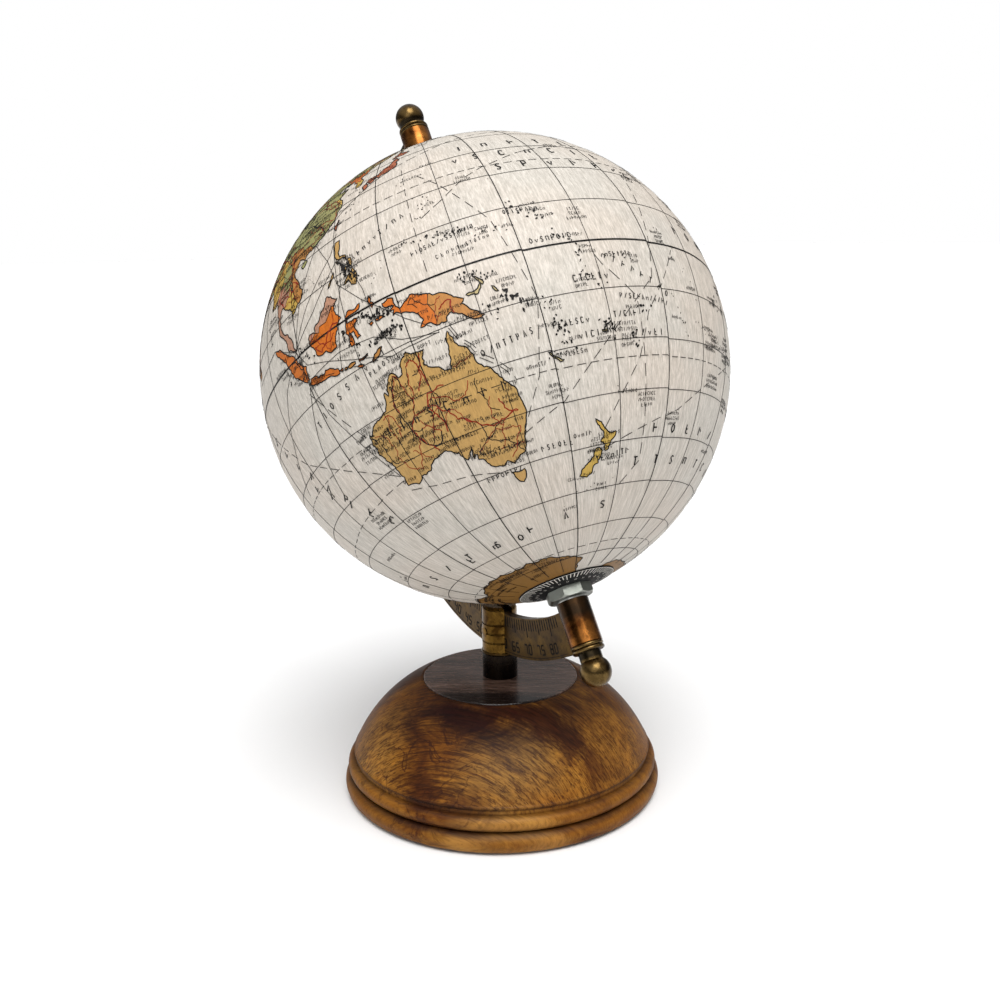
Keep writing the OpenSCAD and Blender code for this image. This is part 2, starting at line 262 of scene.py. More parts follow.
def brass(name, light, dark, rough=0.24, stain=0.5, turned=(260, 260, 5200), scratch=0.04,
          dark_below=None, dark_neck=None):
    """Aged brass or copper: cloudy tarnish with dark specks, and fine turning lines at the scale turned.

    dark_below is a pair of heights between which near-black colour fades out. dark_neck is a ring of it on
    the polar axis: its distance from the middle of the ball, and half its width.
    """
    material, tree, shader = new_material(name)
    cloud = noise(tree, place(tree), 150, 4, 0.65, 0.4)
    speck = noise(tree, place(tree), 700, 3, 0.6)
    lines = noise(tree, place(tree, CENTRE, (0, -TILT, 0), turned), 1.0, 2, 0.6)
    tone = mix_colour(tree, ramp(tree, cloud, (0.36, 0.0), (0.66, 1.0)), dark, light)
    specks = times(tree, ramp(tree, speck, (0.56, 0.0), (0.74, 1.0)), stain)
    tone = mix_colour(tree, specks, tone, scaled(dark, 0.35))
    if dark_below:
        low, high = dark_below
        height = split_xyz(tree, place(tree))[2]
        share = times(tree, math_node(tree, "SUBTRACT", height, low), 1 / (high - low))
        tone = mix_colour(tree, ramp(tree, share, (0.85, 0.92), (1.0, 0.0)), tone, (0.010, 0.009, 0.010))
    if dark_neck:
        middle, half = dark_neck
        axial = split_xyz(tree, place(tree, CENTRE, (0, -TILT, 0)))[2]
        away = math_node(tree, "SUBTRACT", math_node(tree, "ABSOLUTE", axial), middle)
        share = times(tree, math_node(tree, "ABSOLUTE", away), 1 / half)
        tone = mix_colour(tree, ramp(tree, share, (0.5, 0.9), (1.0, 0.0)), tone, (0.012, 0.010, 0.007))
    tree.links.new(tone, shader.inputs["Base Color"])
    shader.inputs["Metallic"].default_value = 1.0
    set_roughness(tree, shader, cloud, 0.22, rough - 0.08)
    bump(tree, shader, lines, scratch, 0.05 * MM)
    return material


def blotch_at(tree, turn, out, wide, deep, edge):
    """A soft patch with a ragged edge, 1 inside and 0 outside.

    turn is its angle round the base in degrees, out its distance from the axis, and wide and deep its size
    round the base and outwards, in millimetres. edge is a pattern round 0 that frays it.
    """
    a = turn * DEG
    at = place(tree, location=(out * math.sin(a) * MM, -out * math.cos(a) * MM, 0), rotation=(0, 0, a),
               scale=(2 / (wide * MM), 2 / (deep * MM), 0.001))
    length = tree.nodes.new("ShaderNodeVectorMath")
    length.operation = "LENGTH"
    tree.links.new(at, length.inputs[0])
    ragged = math_node(tree, "ADD", length.outputs["Value"], times(tree, edge, 2.6))
    return ramp(tree, times(tree, ragged, 0.5), (0.22, 1.0), (0.66, 0.0))


# Direction of the wood's grain, in radians from X
GRAIN = 0.65
# Where the base has dark veins: angle round it, distance from its axis, width and depth in millimetres
VEIN_PATCH = (24, 36, 40, 24)
# Dark and pale patches of the base, placed in the same way, then their strength and colour; three of the pale
# ones are painted light, as marked below
WOOD_PATCHES_AND_PAINTED_LIGHT = [
    # At 63 degrees: a painted highlight, a pale patch on the dome's front
    (63, 36, 26, 13, 0.5, rgb("A27838")), (118, 37, 30, 14, 0.35, rgb("A07030")),
    # At 10 degrees: golden wood tone that is also painted fill light, brightening that side of the base
    (10, 41, 18, 10, 0.4, rgb("A0702A")), (-8, 38, 22, 16, 0.5, rgb("A67A3C")),
    # At 60 degrees: a painted highlight, a thin pale band along the front of the beads
    (60, 44, 60, 3, 0.5, rgb("B08040")), (27, 37, 15, 16, 0.6, rgb("5E3408")),
    # A dark area round the disc, and the blackest patch just under the disc's front edge
    (0, 0, 66, 66, 0.75, rgb("2E1406")), (36, 27, 32, 11, 1.0, rgb("200604")),
    (62, 25, 24, 5, 0.85, rgb("2A0C05")), (83, 29, 9, 8, 0.9, rgb("341606")),
    (92, 34, 8, 10, 0.9, rgb("341606")), (97, 40, 6, 9, 0.6, rgb("3C1A08")),
    (29, 41, 8, 8, 0.7, rgb("341406")), (48, 43, 13, 4, 0.6, rgb("42200A")),
    (200, 30, 26, 12, 0.85, rgb("2A1006")), (272, 38, 26, 9, 0.6, rgb("A87A38")),
    (158, 40, 14, 8, 0.6, rgb("3C1A08")), (322, 30, 16, 10, 0.7, rgb("321406")),
    (240, 36, 8, 14, 0.6, rgb("3C1C0A")),
]


def mango_wood(name):
    """Mango wood: golden and brown cloud, long fine hatching of pores, dark and pale patches with painted
    highlights and painted fill light among them, veins, dark grooves.
    """
    material, tree, shader = new_material(name)
    turn = (0, 0, GRAIN)
    near = place(tree, location=(0.02, 0.01, 0), rotation=turn, scale=(0.6, 1, 1.1))
    cloud = noise(tree, near, 85, 7, 0.72, 0.8)
    far = place(tree, location=(-0.013, 0.024, 0.002), rotation=turn, scale=(0.5, 1, 1))
    wide = noise(tree, far, 34, 5, 0.65, 1.0)
    hatch = noise(tree, place(tree, rotation=turn, scale=(0.04, 1, 0.2)), 1800, 4, 0.75, 0.3)
    pores = noise(tree, place(tree, rotation=turn, scale=(0.04, 1, 0.2)), 3000, 3, 0.65, 0.3)
    tone = mix_colour(tree, ramp(tree, cloud, (0.36, 0.0), (0.60, 1.0)), rgb("46200A"), rgb("8E6022"))
    tone = mix_colour(tree, ramp(tree, wide, (0.44, 0.7), (0.6, 0.0)), tone, rgb("70400E"))
    ragged = math_node(tree, "SUBTRACT", cloud, 0.5)
    # The patches, with the painted highlights and the painted fill light among them
    for turned, out, across, deep, share, colour in WOOD_PATCHES_AND_PAINTED_LIGHT:
        patch = blotch_at(tree, turned, out, across, deep, ragged)
        tone = mix_colour(tree, times(tree, patch, share), tone, colour)
    height = split_xyz(tree, place(tree))[2]
    on_dome = ramp(tree, times(tree, height, 0.5 / RIDGE_Z), (0.42, 0.35), (0.56, 1.0))
    low = times(tree, ramp(tree, hatch, (0.40, 0.9), (0.50, 0.0)), on_dome)
    tone = mix_colour(tree, low, tone, (0.42, 0.34, 0.3), "MULTIPLY")
    high = times(tree, ramp(tree, hatch, (0.52, 0.0), (0.66, 0.6)), on_dome)
    tone = mix_colour(tree, high, tone, (1.6, 1.6, 1.6), "MULTIPLY")
    winding = math_node(tree, "SUBTRACT", noise(tree, place(tree), 75, 4, 0.6, 1.2), 0.5)
    vein = times(tree, math_node(tree, "ABSOLUTE", winding), 30)
    veins = times(tree, ramp(tree, vein, (0.0, 0.9), (0.6, 0.0)), blotch_at(tree, *VEIN_PATCH, ragged))
    tone = mix_colour(tree, veins, tone, rgb("2E1408"))
    pitted = times(tree, ramp(tree, pores, (0.53, 0.0), (0.59, 0.7)), on_dome)
    tone = mix_colour(tree, pitted, tone, rgb("2A1307"))
    # Darker colour along each groove and the ridge, fading with distance from it
    for groove_z, span, depth in DARK_GROOVES:
        away = math_node(tree, "ABSOLUTE", math_node(tree, "SUBTRACT", height, groove_z))
        groove = ramp(tree, times(tree, away, 1 / span), (0.15, 1.0), (1.0, 0.0))
        groove_dark = times(tree, times(tree, groove, depth), ramp(tree, cloud, (0.3, 1.0), (0.7, 0.55)))
        tone = mix_colour(tree, groove_dark, tone, rgb("1E0C06"))
    tree.links.new(tone, shader.inputs["Base Color"])
    set_roughness(tree, shader, hatch, 0.3, 0.36)
    shader.inputs["Specular IOR Level"].default_value = 0.12
    bump(tree, shader, hatch, 0.35, 0.12 * MM)
    return material


# Direction of the disc's grain, in radians from X, and where its blackest patch lies
DISC_GRAIN = 0.96
DISC_DARK_PATCH = (52, 21, 56, 17)


def dark_lacquer(name):
    """Grey-brown stained wood under gloss lacquer, with fine streaks and a near-black patch on one side."""
    material, tree, shader = new_material(name)
    turn = (0, 0, DISC_GRAIN)
    streaks = noise(tree, place(tree, rotation=turn, scale=(0.09, 1, 1)), 1100, 4, 0.7)
    wide = noise(tree, place(tree, rotation=turn, scale=(0.15, 1, 1)), 160, 4, 0.6)
    tone = mix_colour(tree, ramp(tree, streaks, (0.34, 0.0), (0.64, 1.0)), rgb("3A2820"), rgb("80665A"))
    tone = mix_colour(tree, ramp(tree, wide, (0.42, 0.0), (0.65, 0.6)), tone, rgb("3A2A22"))
    ragged = times(tree, math_node(tree, "SUBTRACT", wide, 0.5), 0.5)
    # A near-black patch over the colour, on one side of the disc
    stain = blotch_at(tree, *DISC_DARK_PATCH, ragged)
    tone = mix_colour(tree, times(tree, stain, 0.92), tone, rgb("0E0A0B"))
    tree.links.new(tone, shader.inputs["Base Color"])
    set_roughness(tree, shader, streaks, 0.22, 0.14)
    shader.inputs["Specular IOR Level"].default_value = 0.3
    shader.inputs["Coat Weight"].default_value = 0.12
    shader.inputs["Coat Roughness"].default_value = 0.2
    bump(tree, shader, streaks, 0.15, 0.05 * MM)
    return material


def metal(name, colour, rough, scale=(500, 500, 500), strength=0.05):
    """Plated or drawn steel with fine lines and faint clouding."""
    material, tree, shader = new_material(name)
    lines = noise(tree, place(tree, CENTRE, (0, -TILT, 0), scale), 1.0, 3, 0.6)
    cloud = noise(tree, place(tree), 260, 3)
    tone = mix_colour(tree, ramp(tree, cloud, (0.35, 0.0), (0.7, 1.0)), scaled(colour, 0.78), colour)
    tree.links.new(tone, shader.inputs["Base Color"])
    shader.inputs["Metallic"].default_value = 1.0
    set_roughness(tree, shader, lines, 0.2, rough - 0.1)
    bump(tree, shader, lines, strength, 0.04 * MM)
    return material


def felt(name):
    """Dark green felt with a soft, fibrous surface."""
    material, tree, shader = new_material(name)
    fibres = noise(tree, place(tree), 1500, 4, 0.7, 1.0)
    tree.links.new(mix_colour(tree, fibres, (0.006, 0.012, 0.007), (0.035, 0.06, 0.04)),
                   shader.inputs["Base Color"])
    shader.inputs["Roughness"].default_value = 0.95
    shader.inputs["Sheen Weight"].default_value = 0.4
    bump(tree, shader, fibres, 0.6, 0.3 * MM)
    return material


def plain_card(name, colour):
    """Pressed board or plain wood, for the shells and bushes inside the ball."""
    material, tree, shader = new_material(name)
    grain = noise(tree, place(tree), 420, 4, 0.6)
    tree.links.new(mix_colour(tree, grain, scaled(colour, 0.7), colour), shader.inputs["Base Color"])
    shader.inputs["Roughness"].default_value = 0.75
    bump(tree, shader, grain, 0.2, 0.1 * MM)
    return material


# Heights of the dark grooves of the base: between the beads, over them and under the dome
FOOT_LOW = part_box("base")[0].z
GROOVE_Z = FOOT_LOW + 5.4 * MM
BAND_Z = FOOT_LOW + 9.9 * MM
RIDGE_Z = FOOT_LOW + 11.4 * MM
DISC_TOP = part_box("base_disc")[1].z
# Each groove's height, how far its darkness reaches up and down, and how dark it is
DARK_GROOVES = [(GROOVE_Z, 1.5 * MM, 0.95), (RIDGE_Z, 0.9 * MM, 0.8), (BAND_Z, 0.8 * MM, 0.7)]

MATERIALS = {
    "wood": mango_wood("mango_wood"),
    "lacquer": dark_lacquer("dark_lacquer"),
    "felt": felt("felt"),
    "post": brass("post_brass", rgb("7A5C28"), rgb("33210A"), 0.24, 0.6, (300, 300, 3000), 0.22,
                  (DISC_TOP, DISC_TOP + 8.4 * MM)),
    "arc": brass("arc_brass", rgb("60481F"), rgb("33230F"), 0.38, 0.8, (900, 900, 900), 0.05),
    "boss": brass("boss_brass", rgb("96602C"), rgb("42240E"), 0.22, 0.6, dark_neck=(68 * MM, 5.5 * MM)),
    "finial": brass("finial_brass", rgb("76603A"), rgb("30220F"), 0.24, 0.75,
                    dark_neck=(81.6 * MM, 1.3 * MM)),
    "zinc": metal("zinc_steel", (0.62, 0.62, 0.60), 0.3),
    "nickel": metal("nickel", (0.30, 0.315, 0.28), 0.34, (400, 400, 3000), 0.06),
    "card": plain_card("pressed_board", rgb("CBBFA8")),
    "bush": plain_card("bush_wood", rgb("B98B57")),
    "ocean": printed_paper("ocean_paper", rgb("C4BDB5"), 0.62, 0.85),
    "ink": ink("black_ink", rgb("0E0B09")),
    "brown_ink": ink("red_brown_ink", rgb("7E2410")),
    "dial": ink("dial_ink", rgb("050506"), 0.6),
    "dial_mark": ink("dial_marks", rgb("D9D5CC")),
    "engraved": ink("engraving", rgb("080402"), 0.7),
}

# Land colours, each under one letter
LAND_COLOURS = {
    "a": rgb("AD8A50"),  # ochre tan
    "o": rgb("BA6214"),  # orange
    "t": rgb("A87438"),  # tan orange
    "k": rgb("8C8A58"),  # khaki
    "p": rgb("A67C66"),  # pinkish brown
    "y": rgb("B89846"),  # yellow ochre
    "r": rgb("9A5230"),  # rust
    "b": rgb("7E5A28"),  # brown
    "c": rgb("A6986C"),  # cream brown
}
LANDS = {letter: printed_paper("land_" + letter, colour, 0.45, 0.6)
         for letter, colour in LAND_COLOURS.items()}

# What each CAD node is made of
FINISHES = {
    "wood": ["base"],
    "lacquer": ["base_disc"],
    "felt": ["felt_pad"],
    "post": ["post", "arc_rivet"],
    "arc": ["meridian_arc"],
    "boss": ["north_boss", "south_boss"],
    "finial": ["north_finial", "south_finial"],
    "zinc": ["post_stud", "stud_washer", "stud_nut", "north_pivot_pin", "south_pivot_pin",
             "north_thrust_washer", "south_thrust_washer", "axle_tube"],
    "nickel": ["north_pole_nut", "south_pole_nut"],
    "card": ["north_hemisphere", "south_hemisphere", "equator_strip"],
    "bush": ["north_bush", "south_bush"],
    "ocean": ["map_gores"],
    "dial": ["north_hour_dial", "south_hour_dial"],
}
for finish, names in FINISHES.items():
    for name in names:
        for slot in frame["nodes"][name].material_slots:
            slot.material = MATERIALS[finish]


# ---------------------------------------------------------------- the map's layout

# All in degrees: the map's zero meridian on the ball, each gore's width and where the first one starts
FIRST_MERIDIAN = 176.4
GORES = 12
GORE_WIDTH = 360 / GORES
GORE_START = 15
# The whole map sits a little north, most at the equator, and its middle latitudes lie a little outwards
MAP_LIFT = 1.2
LIFT_SHARE = 0.8
MAP_SPREAD = 2.7
# Shift of longitude at every SHIFT_STEP degrees, from 0: paper gores never meet quite true
SHIFT_STEP = 15
LON_SHIFT = [0.5, 1, 1, 2, 2, 3, 3, 3, 3.5, 1, 1.5, -1.5, -1.5, -1, -2, -1, 0, 0.5, -0.5, 1, 0, -1, 0, 0.5]
# Lift of latitude of each gore, from the one that starts at GORE_START
LAT_SHIFT = [0.2, 0.5, 0.4, 0.7, 0.5, 0.1, -0.4, 0.1, 0.4, -0.2, 0.3, 0.0]
# How far from a gore's edge its lift eases into its neighbour's
SEAM = 0.35


def wave(table, position):
    """Straight-line reading of a table that closes on itself."""
    low = math.floor(position)
    share = position - low
    return table[low % len(table)] * (1 - share) + table[(low + 1) % len(table)] * share


def gore_lift(lon):
    """Each gore's own lift, which changes within SEAM degrees of its edges."""
    place_in = (lon - GORE_START) / GORE_WIDTH
    gore = math.floor(place_in)
    inside = (place_in - gore) * GORE_WIDTH
    before, here, after = (LAT_SHIFT[(gore + k) % GORES] for k in (-1, 0, 1))
    if inside < SEAM:
        return (before + here) / 2 + (here - before) / 2 * inside / SEAM
    if inside > GORE_WIDTH - SEAM:
        return (here + after) / 2 - (after - here) / 2 * (GORE_WIDTH - inside) / SEAM
    return here


def map_turn(lon):
    """The angle round the polar axis, in radians, at which the map shows a longitude."""
    return (lon + FIRST_MERIDIAN + wave(LON_SHIFT, lon / SHIFT_STEP)) * DEG


def sphere_point(turn, up, radius):
    """The point at an angle round the polar axis and an angle above the equator, in radians."""
    outward = (EAST_0 * math.cos(turn) + EAST_90 * math.sin(turn)) * math.cos(up) + POLE * math.sin(up)
    return CENTRE + outward * radius


def on_ball(lon, lat, radius):
    """The point of the ball where the map shows lon, lat."""
    lift = (MAP_LIFT + gore_lift(lon)) * math.cos(lat * DEG) * LIFT_SHARE
    up = lat + lift + MAP_SPREAD * math.sin(2 * lat * DEG)
    return sphere_point(map_turn(lon), up * DEG, radius)


# ---------------------------------------------------------------- mesh helpers

def add_object(name, data):
    """A new object in the scene for a mesh, a light or a camera."""
    made = bpy.data.objects.new(name, data)
    bpy.context.scene.collection.objects.link(made)
    return made


class Sheet:
    """Flat faces that lie on a curved surface, each with the number of its material."""

    def __init__(self):
        self.points, self.faces, self.slots = [], [], []

    def add(self, points, faces, slot=0):
        """More faces; slot is the number of their material, or a list with one for each face."""
        start = len(self.points)
        self.points += points
        self.faces += [[start + i for i in face] for face in faces]
        self.slots += slot if isinstance(slot, list) else [slot] * len(faces)

    def strip(self, left, right, slot=0, closed=False):
        """A band between two rows of points."""
        count = len(left)
        spans = count if closed else count - 1
        faces = [[i, (i + 1) % count, count + (i + 1) % count, count + i] for i in range(spans)]
        self.add(left + right, faces, slot)

    def build(self, name, materials, thick, outward):
        """The sheet as closed bodies, thick deep below its faces; outward gives the way up at a point."""
        up = [outward(p) for p in self.points]
        faces = []
        for face in self.faces:
            a, b, c = (self.points[i] for i in face[:3])
            faces.append(face if (b - a).cross(c - a).dot(up[face[0]]) > 0 else face[::-1])
        uses = {}
        for number, face in enumerate(faces):
            for i, j in zip(face, face[1:] + face[:1]):
                uses.setdefault((min(i, j), max(i, j)), []).append((number, i, j))
        rim = [u[0] for u in uses.values() if len(u) == 1]
        count = len(self.points)
        points = self.points + [p - u * thick for p, u in zip(self.points, up)]
        walls = [[j, i, i + count, j + count] for _, i, j in rim]
        under = [[i + count for i in face[::-1]] for face in faces]
        mesh = bpy.data.meshes.new(name)
        mesh.from_pydata(points, [], faces + under + walls)
        mesh.polygons.foreach_set("material_index", self.slots * 2 + [self.slots[r[0]] for r in rim])
        mesh.polygons.foreach_set("use_smooth", [True] * len(mesh.polygons))
        edges = {(min(i, j), max(i, j)) for _, i, j in rim}
        edges |= {(i + count, j + count) for i, j in edges}
        for edge in mesh.edges:
            if tuple(sorted(edge.vertices)) in edges:
                edge.use_edge_sharp = True
        for material in materials:
            mesh.materials.append(material)
        mesh.update()
        return add_object(name, mesh)


def from_centre(point):
    return (point - CENTRE).normalized()


def map_piece(sheet, name, materials, thick=INK_T):
    """A printed layer of the ball."""
    piece = sheet.build(name, materials, thick, from_centre)
    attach(piece, "ball")
    return piece


def parse(text):
    """Pairs of numbers from a line such as '12,-5 14,-6'."""
    return [tuple(float(n) for n in pair.split(",")) for pair in text.split()]


def dense(points, step, closed=False):
    """The same line in lon, lat with no leg longer than step degrees."""
    out = []
    ends = points[1:] + (points[:1] if closed else [])
    for (a, b), (c, d) in zip(points, ends):
        count = max(1, math.ceil(math.hypot((c - a) * math.cos((b + d) / 2 * DEG), d - b) / step))
        out += [(a + (c - a) * k / count, b + (d - b) * k / count) for k in range(count)]
    return out if closed else out + [points[-1]]


def ribbon(sheet, path, width, radius, slot=0, closed=False):
    """A line of that width along points given as lon, lat."""
    at = [on_ball(lon, lat, radius) for lon, lat in path]
    count = len(at)
    left, right = [], []
    for i, point in enumerate(at):
        ahead = at[(i + 1) % count] if closed or i < count - 1 else point
        behind = at[i - 1] if closed or i > 0 else point
        side = (ahead - behind).cross(from_centre(point))
        if side.length < TINY:
            side = EAST_0.copy()
        side = side.normalized() * width / 2
        left.append(point + side)
        right.append(point - side)
    sheet.strip(left, right, slot, closed)


def dashes(sheet, path, width, radius, dash, gap):
    """A broken line: dash and gap in degrees."""
    fine = dense(path, 0.5)
    run, drawn, span = [fine[0]], True, 0.0
    for (a, b), (c, d) in zip(fine, fine[1:]):
        span += math.hypot((c - a) * math.cos((b + d) / 2 * DEG), d - b)
        if drawn:
            run.append((c, d))
        if span > (dash if drawn else gap):
            if drawn and len(run) > 1:
                ribbon(sheet, run, width, radius)
            run, drawn, span = [(c, d)], not drawn, 0.0
    if drawn and len(run) > 1:
        ribbon(sheet, run, width, radius)


# ---------------------------------------------------------------- ocean and graticule

# The paper's rows of faces, in degrees of latitude, and the faces across each gore
PAPER_END = 84
PAPER_STEP = 2
PAPER_SPANS = 15
# Half the hairline between two gores, in degrees
GORE_GAP = 0.05
# The hole at each pole, as a share of the bush's radius
HOLE_SHARE = 0.62
# The map is drawn a little past the dial's edge, under the dial
MAP_END = 76


def make_gores():
    """The paper gores as one closed skin, from pole hole to pole hole, with a hairline between them."""
    sheet = Sheet()
    hole = math.degrees(math.acos(axial_span("south_bush")[2] * HOLE_SHARE / BALL_R))
    rows = [-hole, *range(-PAPER_END, PAPER_END + 1, PAPER_STEP), hole]
    row = PAPER_SPANS + 1
    faces = [[r * row + c, r * row + c + 1, (r + 1) * row + c + 1, (r + 1) * row + c]
             for r in range(len(rows) - 1) for c in range(PAPER_SPANS)]
    for gore in range(GORES):
        west = GORE_START + GORE_WIDTH * gore + GORE_GAP
        east = GORE_START + GORE_WIDTH * (gore + 1) - GORE_GAP
        turns = [west + (east - west) * k / PAPER_SPANS for k in range(row)]
        sheet.add([sphere_point(map_turn(lon), lat * DEG, PAPER_R) for lat in rows for lon in turns], faces)
    piece = map_piece(sheet, "ocean_paper", [MATERIALS["ocean"]], thick=0.15 * MM)
    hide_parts("map_gores")


# Widths of the map's fine lines, and of its equator
LINE = 0.15 * MM
EQUATOR_LINE = 0.45 * MM
TROPIC = 23.5
POLAR_CIRCLE = 66.5


def make_graticule():
    """Meridians every 15 degrees, heavier where gores meet, parallels every 10, tropics and polar circles."""
    sheet = Sheet()
    for lon in range(0, 360, 15):
        at_seam = (lon - GORE_START) % GORE_WIDTH == 0
        ribbon(sheet, dense([(lon, -MAP_END), (lon, MAP_END)], 2), LINE * (1.5 if at_seam else 1), INK_R)
    seams = {GORE_START + GORE_WIDTH * g + s for g in range(GORES) for s in (-SEAM, 0, SEAM)}
    around = sorted(seams.union(range(0, 360, 3)))
    for lat in range(-70, 80, 10):
        width = LINE if lat else EQUATOR_LINE
        ribbon(sheet, [(lon, lat) for lon in around], width, INK_R, closed=True)
    for lat in (-POLAR_CIRCLE, -TROPIC, TROPIC, POLAR_CIRCLE):
        dashes(sheet, [(0, lat), (360, lat)], LINE, INK_R, 1.7, 0.9)
    map_piece(sheet, "map_grid", [MATERIALS["ink"]])


# The date line, sea routes and a coral reef's edge, as lon,lat; dashed
ROUTES = [
    "180,66 180,2", "180,-3 181,-5 187.5,-12 187.5,-45 180,-51 180,-70", "142.5,32 142.5,1",
    "115,-35.5 122,-37 136,-38.5 144,-40.5", "151,-34 165,-30 178,-20 193,-8 202,20",
    "175,-37 186,-24 190,-15 203,-1", "175,-41 200,-34 230,-20 262,-2 280,7",
    "144.5,13.5 158,21 175,27 200,33 235,38", "140,35 165,42 200,47 232,48", "113,-22 104,-8",
    "115,-32 90,-18 72,0 60,10 45,12", "115,-33 80,-36 40,-37 20,-36",
    "151,-34 160,-24 165,-10 160,8 146,27", "129,-11 122,-10 113,-8 106,-6",
    "143,-10.4 144,-13 145.8,-15 146.9,-17.5 149.2,-19.3 151.8,-21.5 153,-23.8",
    "143.4,-10 144.5,-12.8 146.4,-14.8 147.6,-17 150,-18.9 152.6,-21.2 153.6,-23.6",
    "-5,36 -25,38 -60,40 -74,40", "-17,15 -30,0 -34,-8", "18,-35 -5,-18 -16,12", "-80,8 -95,10 -120,30",
    "-79,9 -72,20 -74,40", "-9,48 -40,47 -60,44",
]


# Full lines from harbour to harbour among the islands between Asia and Australia, and from there west
LANES = [
    "104,1.2 108,10 114,21.5", "104,1.2 110,8 119,16 121,21", "104,1.2 112,6 121,14",
    "104,1.2 95,6 88,5 80,5", "104,1.2 96,-4 88,-14 80,-22", "104,1.2 105.5,-6 100,-16 95,-28",
    "104,1.2 106.5,-3 112,-5 119,-8 129,-11 141,-10.4", "115,-8.8 117,-3 119,3 121,8 122,14",
    "106.5,-6 116,-5 126,-6 133,-9 141,-10.5", "130.5,-12 128,-4 127,4 124,12",
    "114,22 118,15 120,8 126,2 140,-9", "114,22 122,27 130,31 139,34.5", "115,-32 107,-14 105.5,-6",
]


def make_routes():
    """The full and the dashed lines across the sea."""
    sheet = Sheet()
    for lane in LANES:
        ribbon(sheet, dense(parse(lane), 1), LINE * 0.9, INK_R + LANE_UP)
    for route in ROUTES:
        dashes(sheet, parse(route), LINE, INK_R + ROUTE_UP, 2.4, 1.0)
    map_piece(sheet, "map_routes", [MATERIALS["ink"]])


# ---------------------------------------------------------------- land

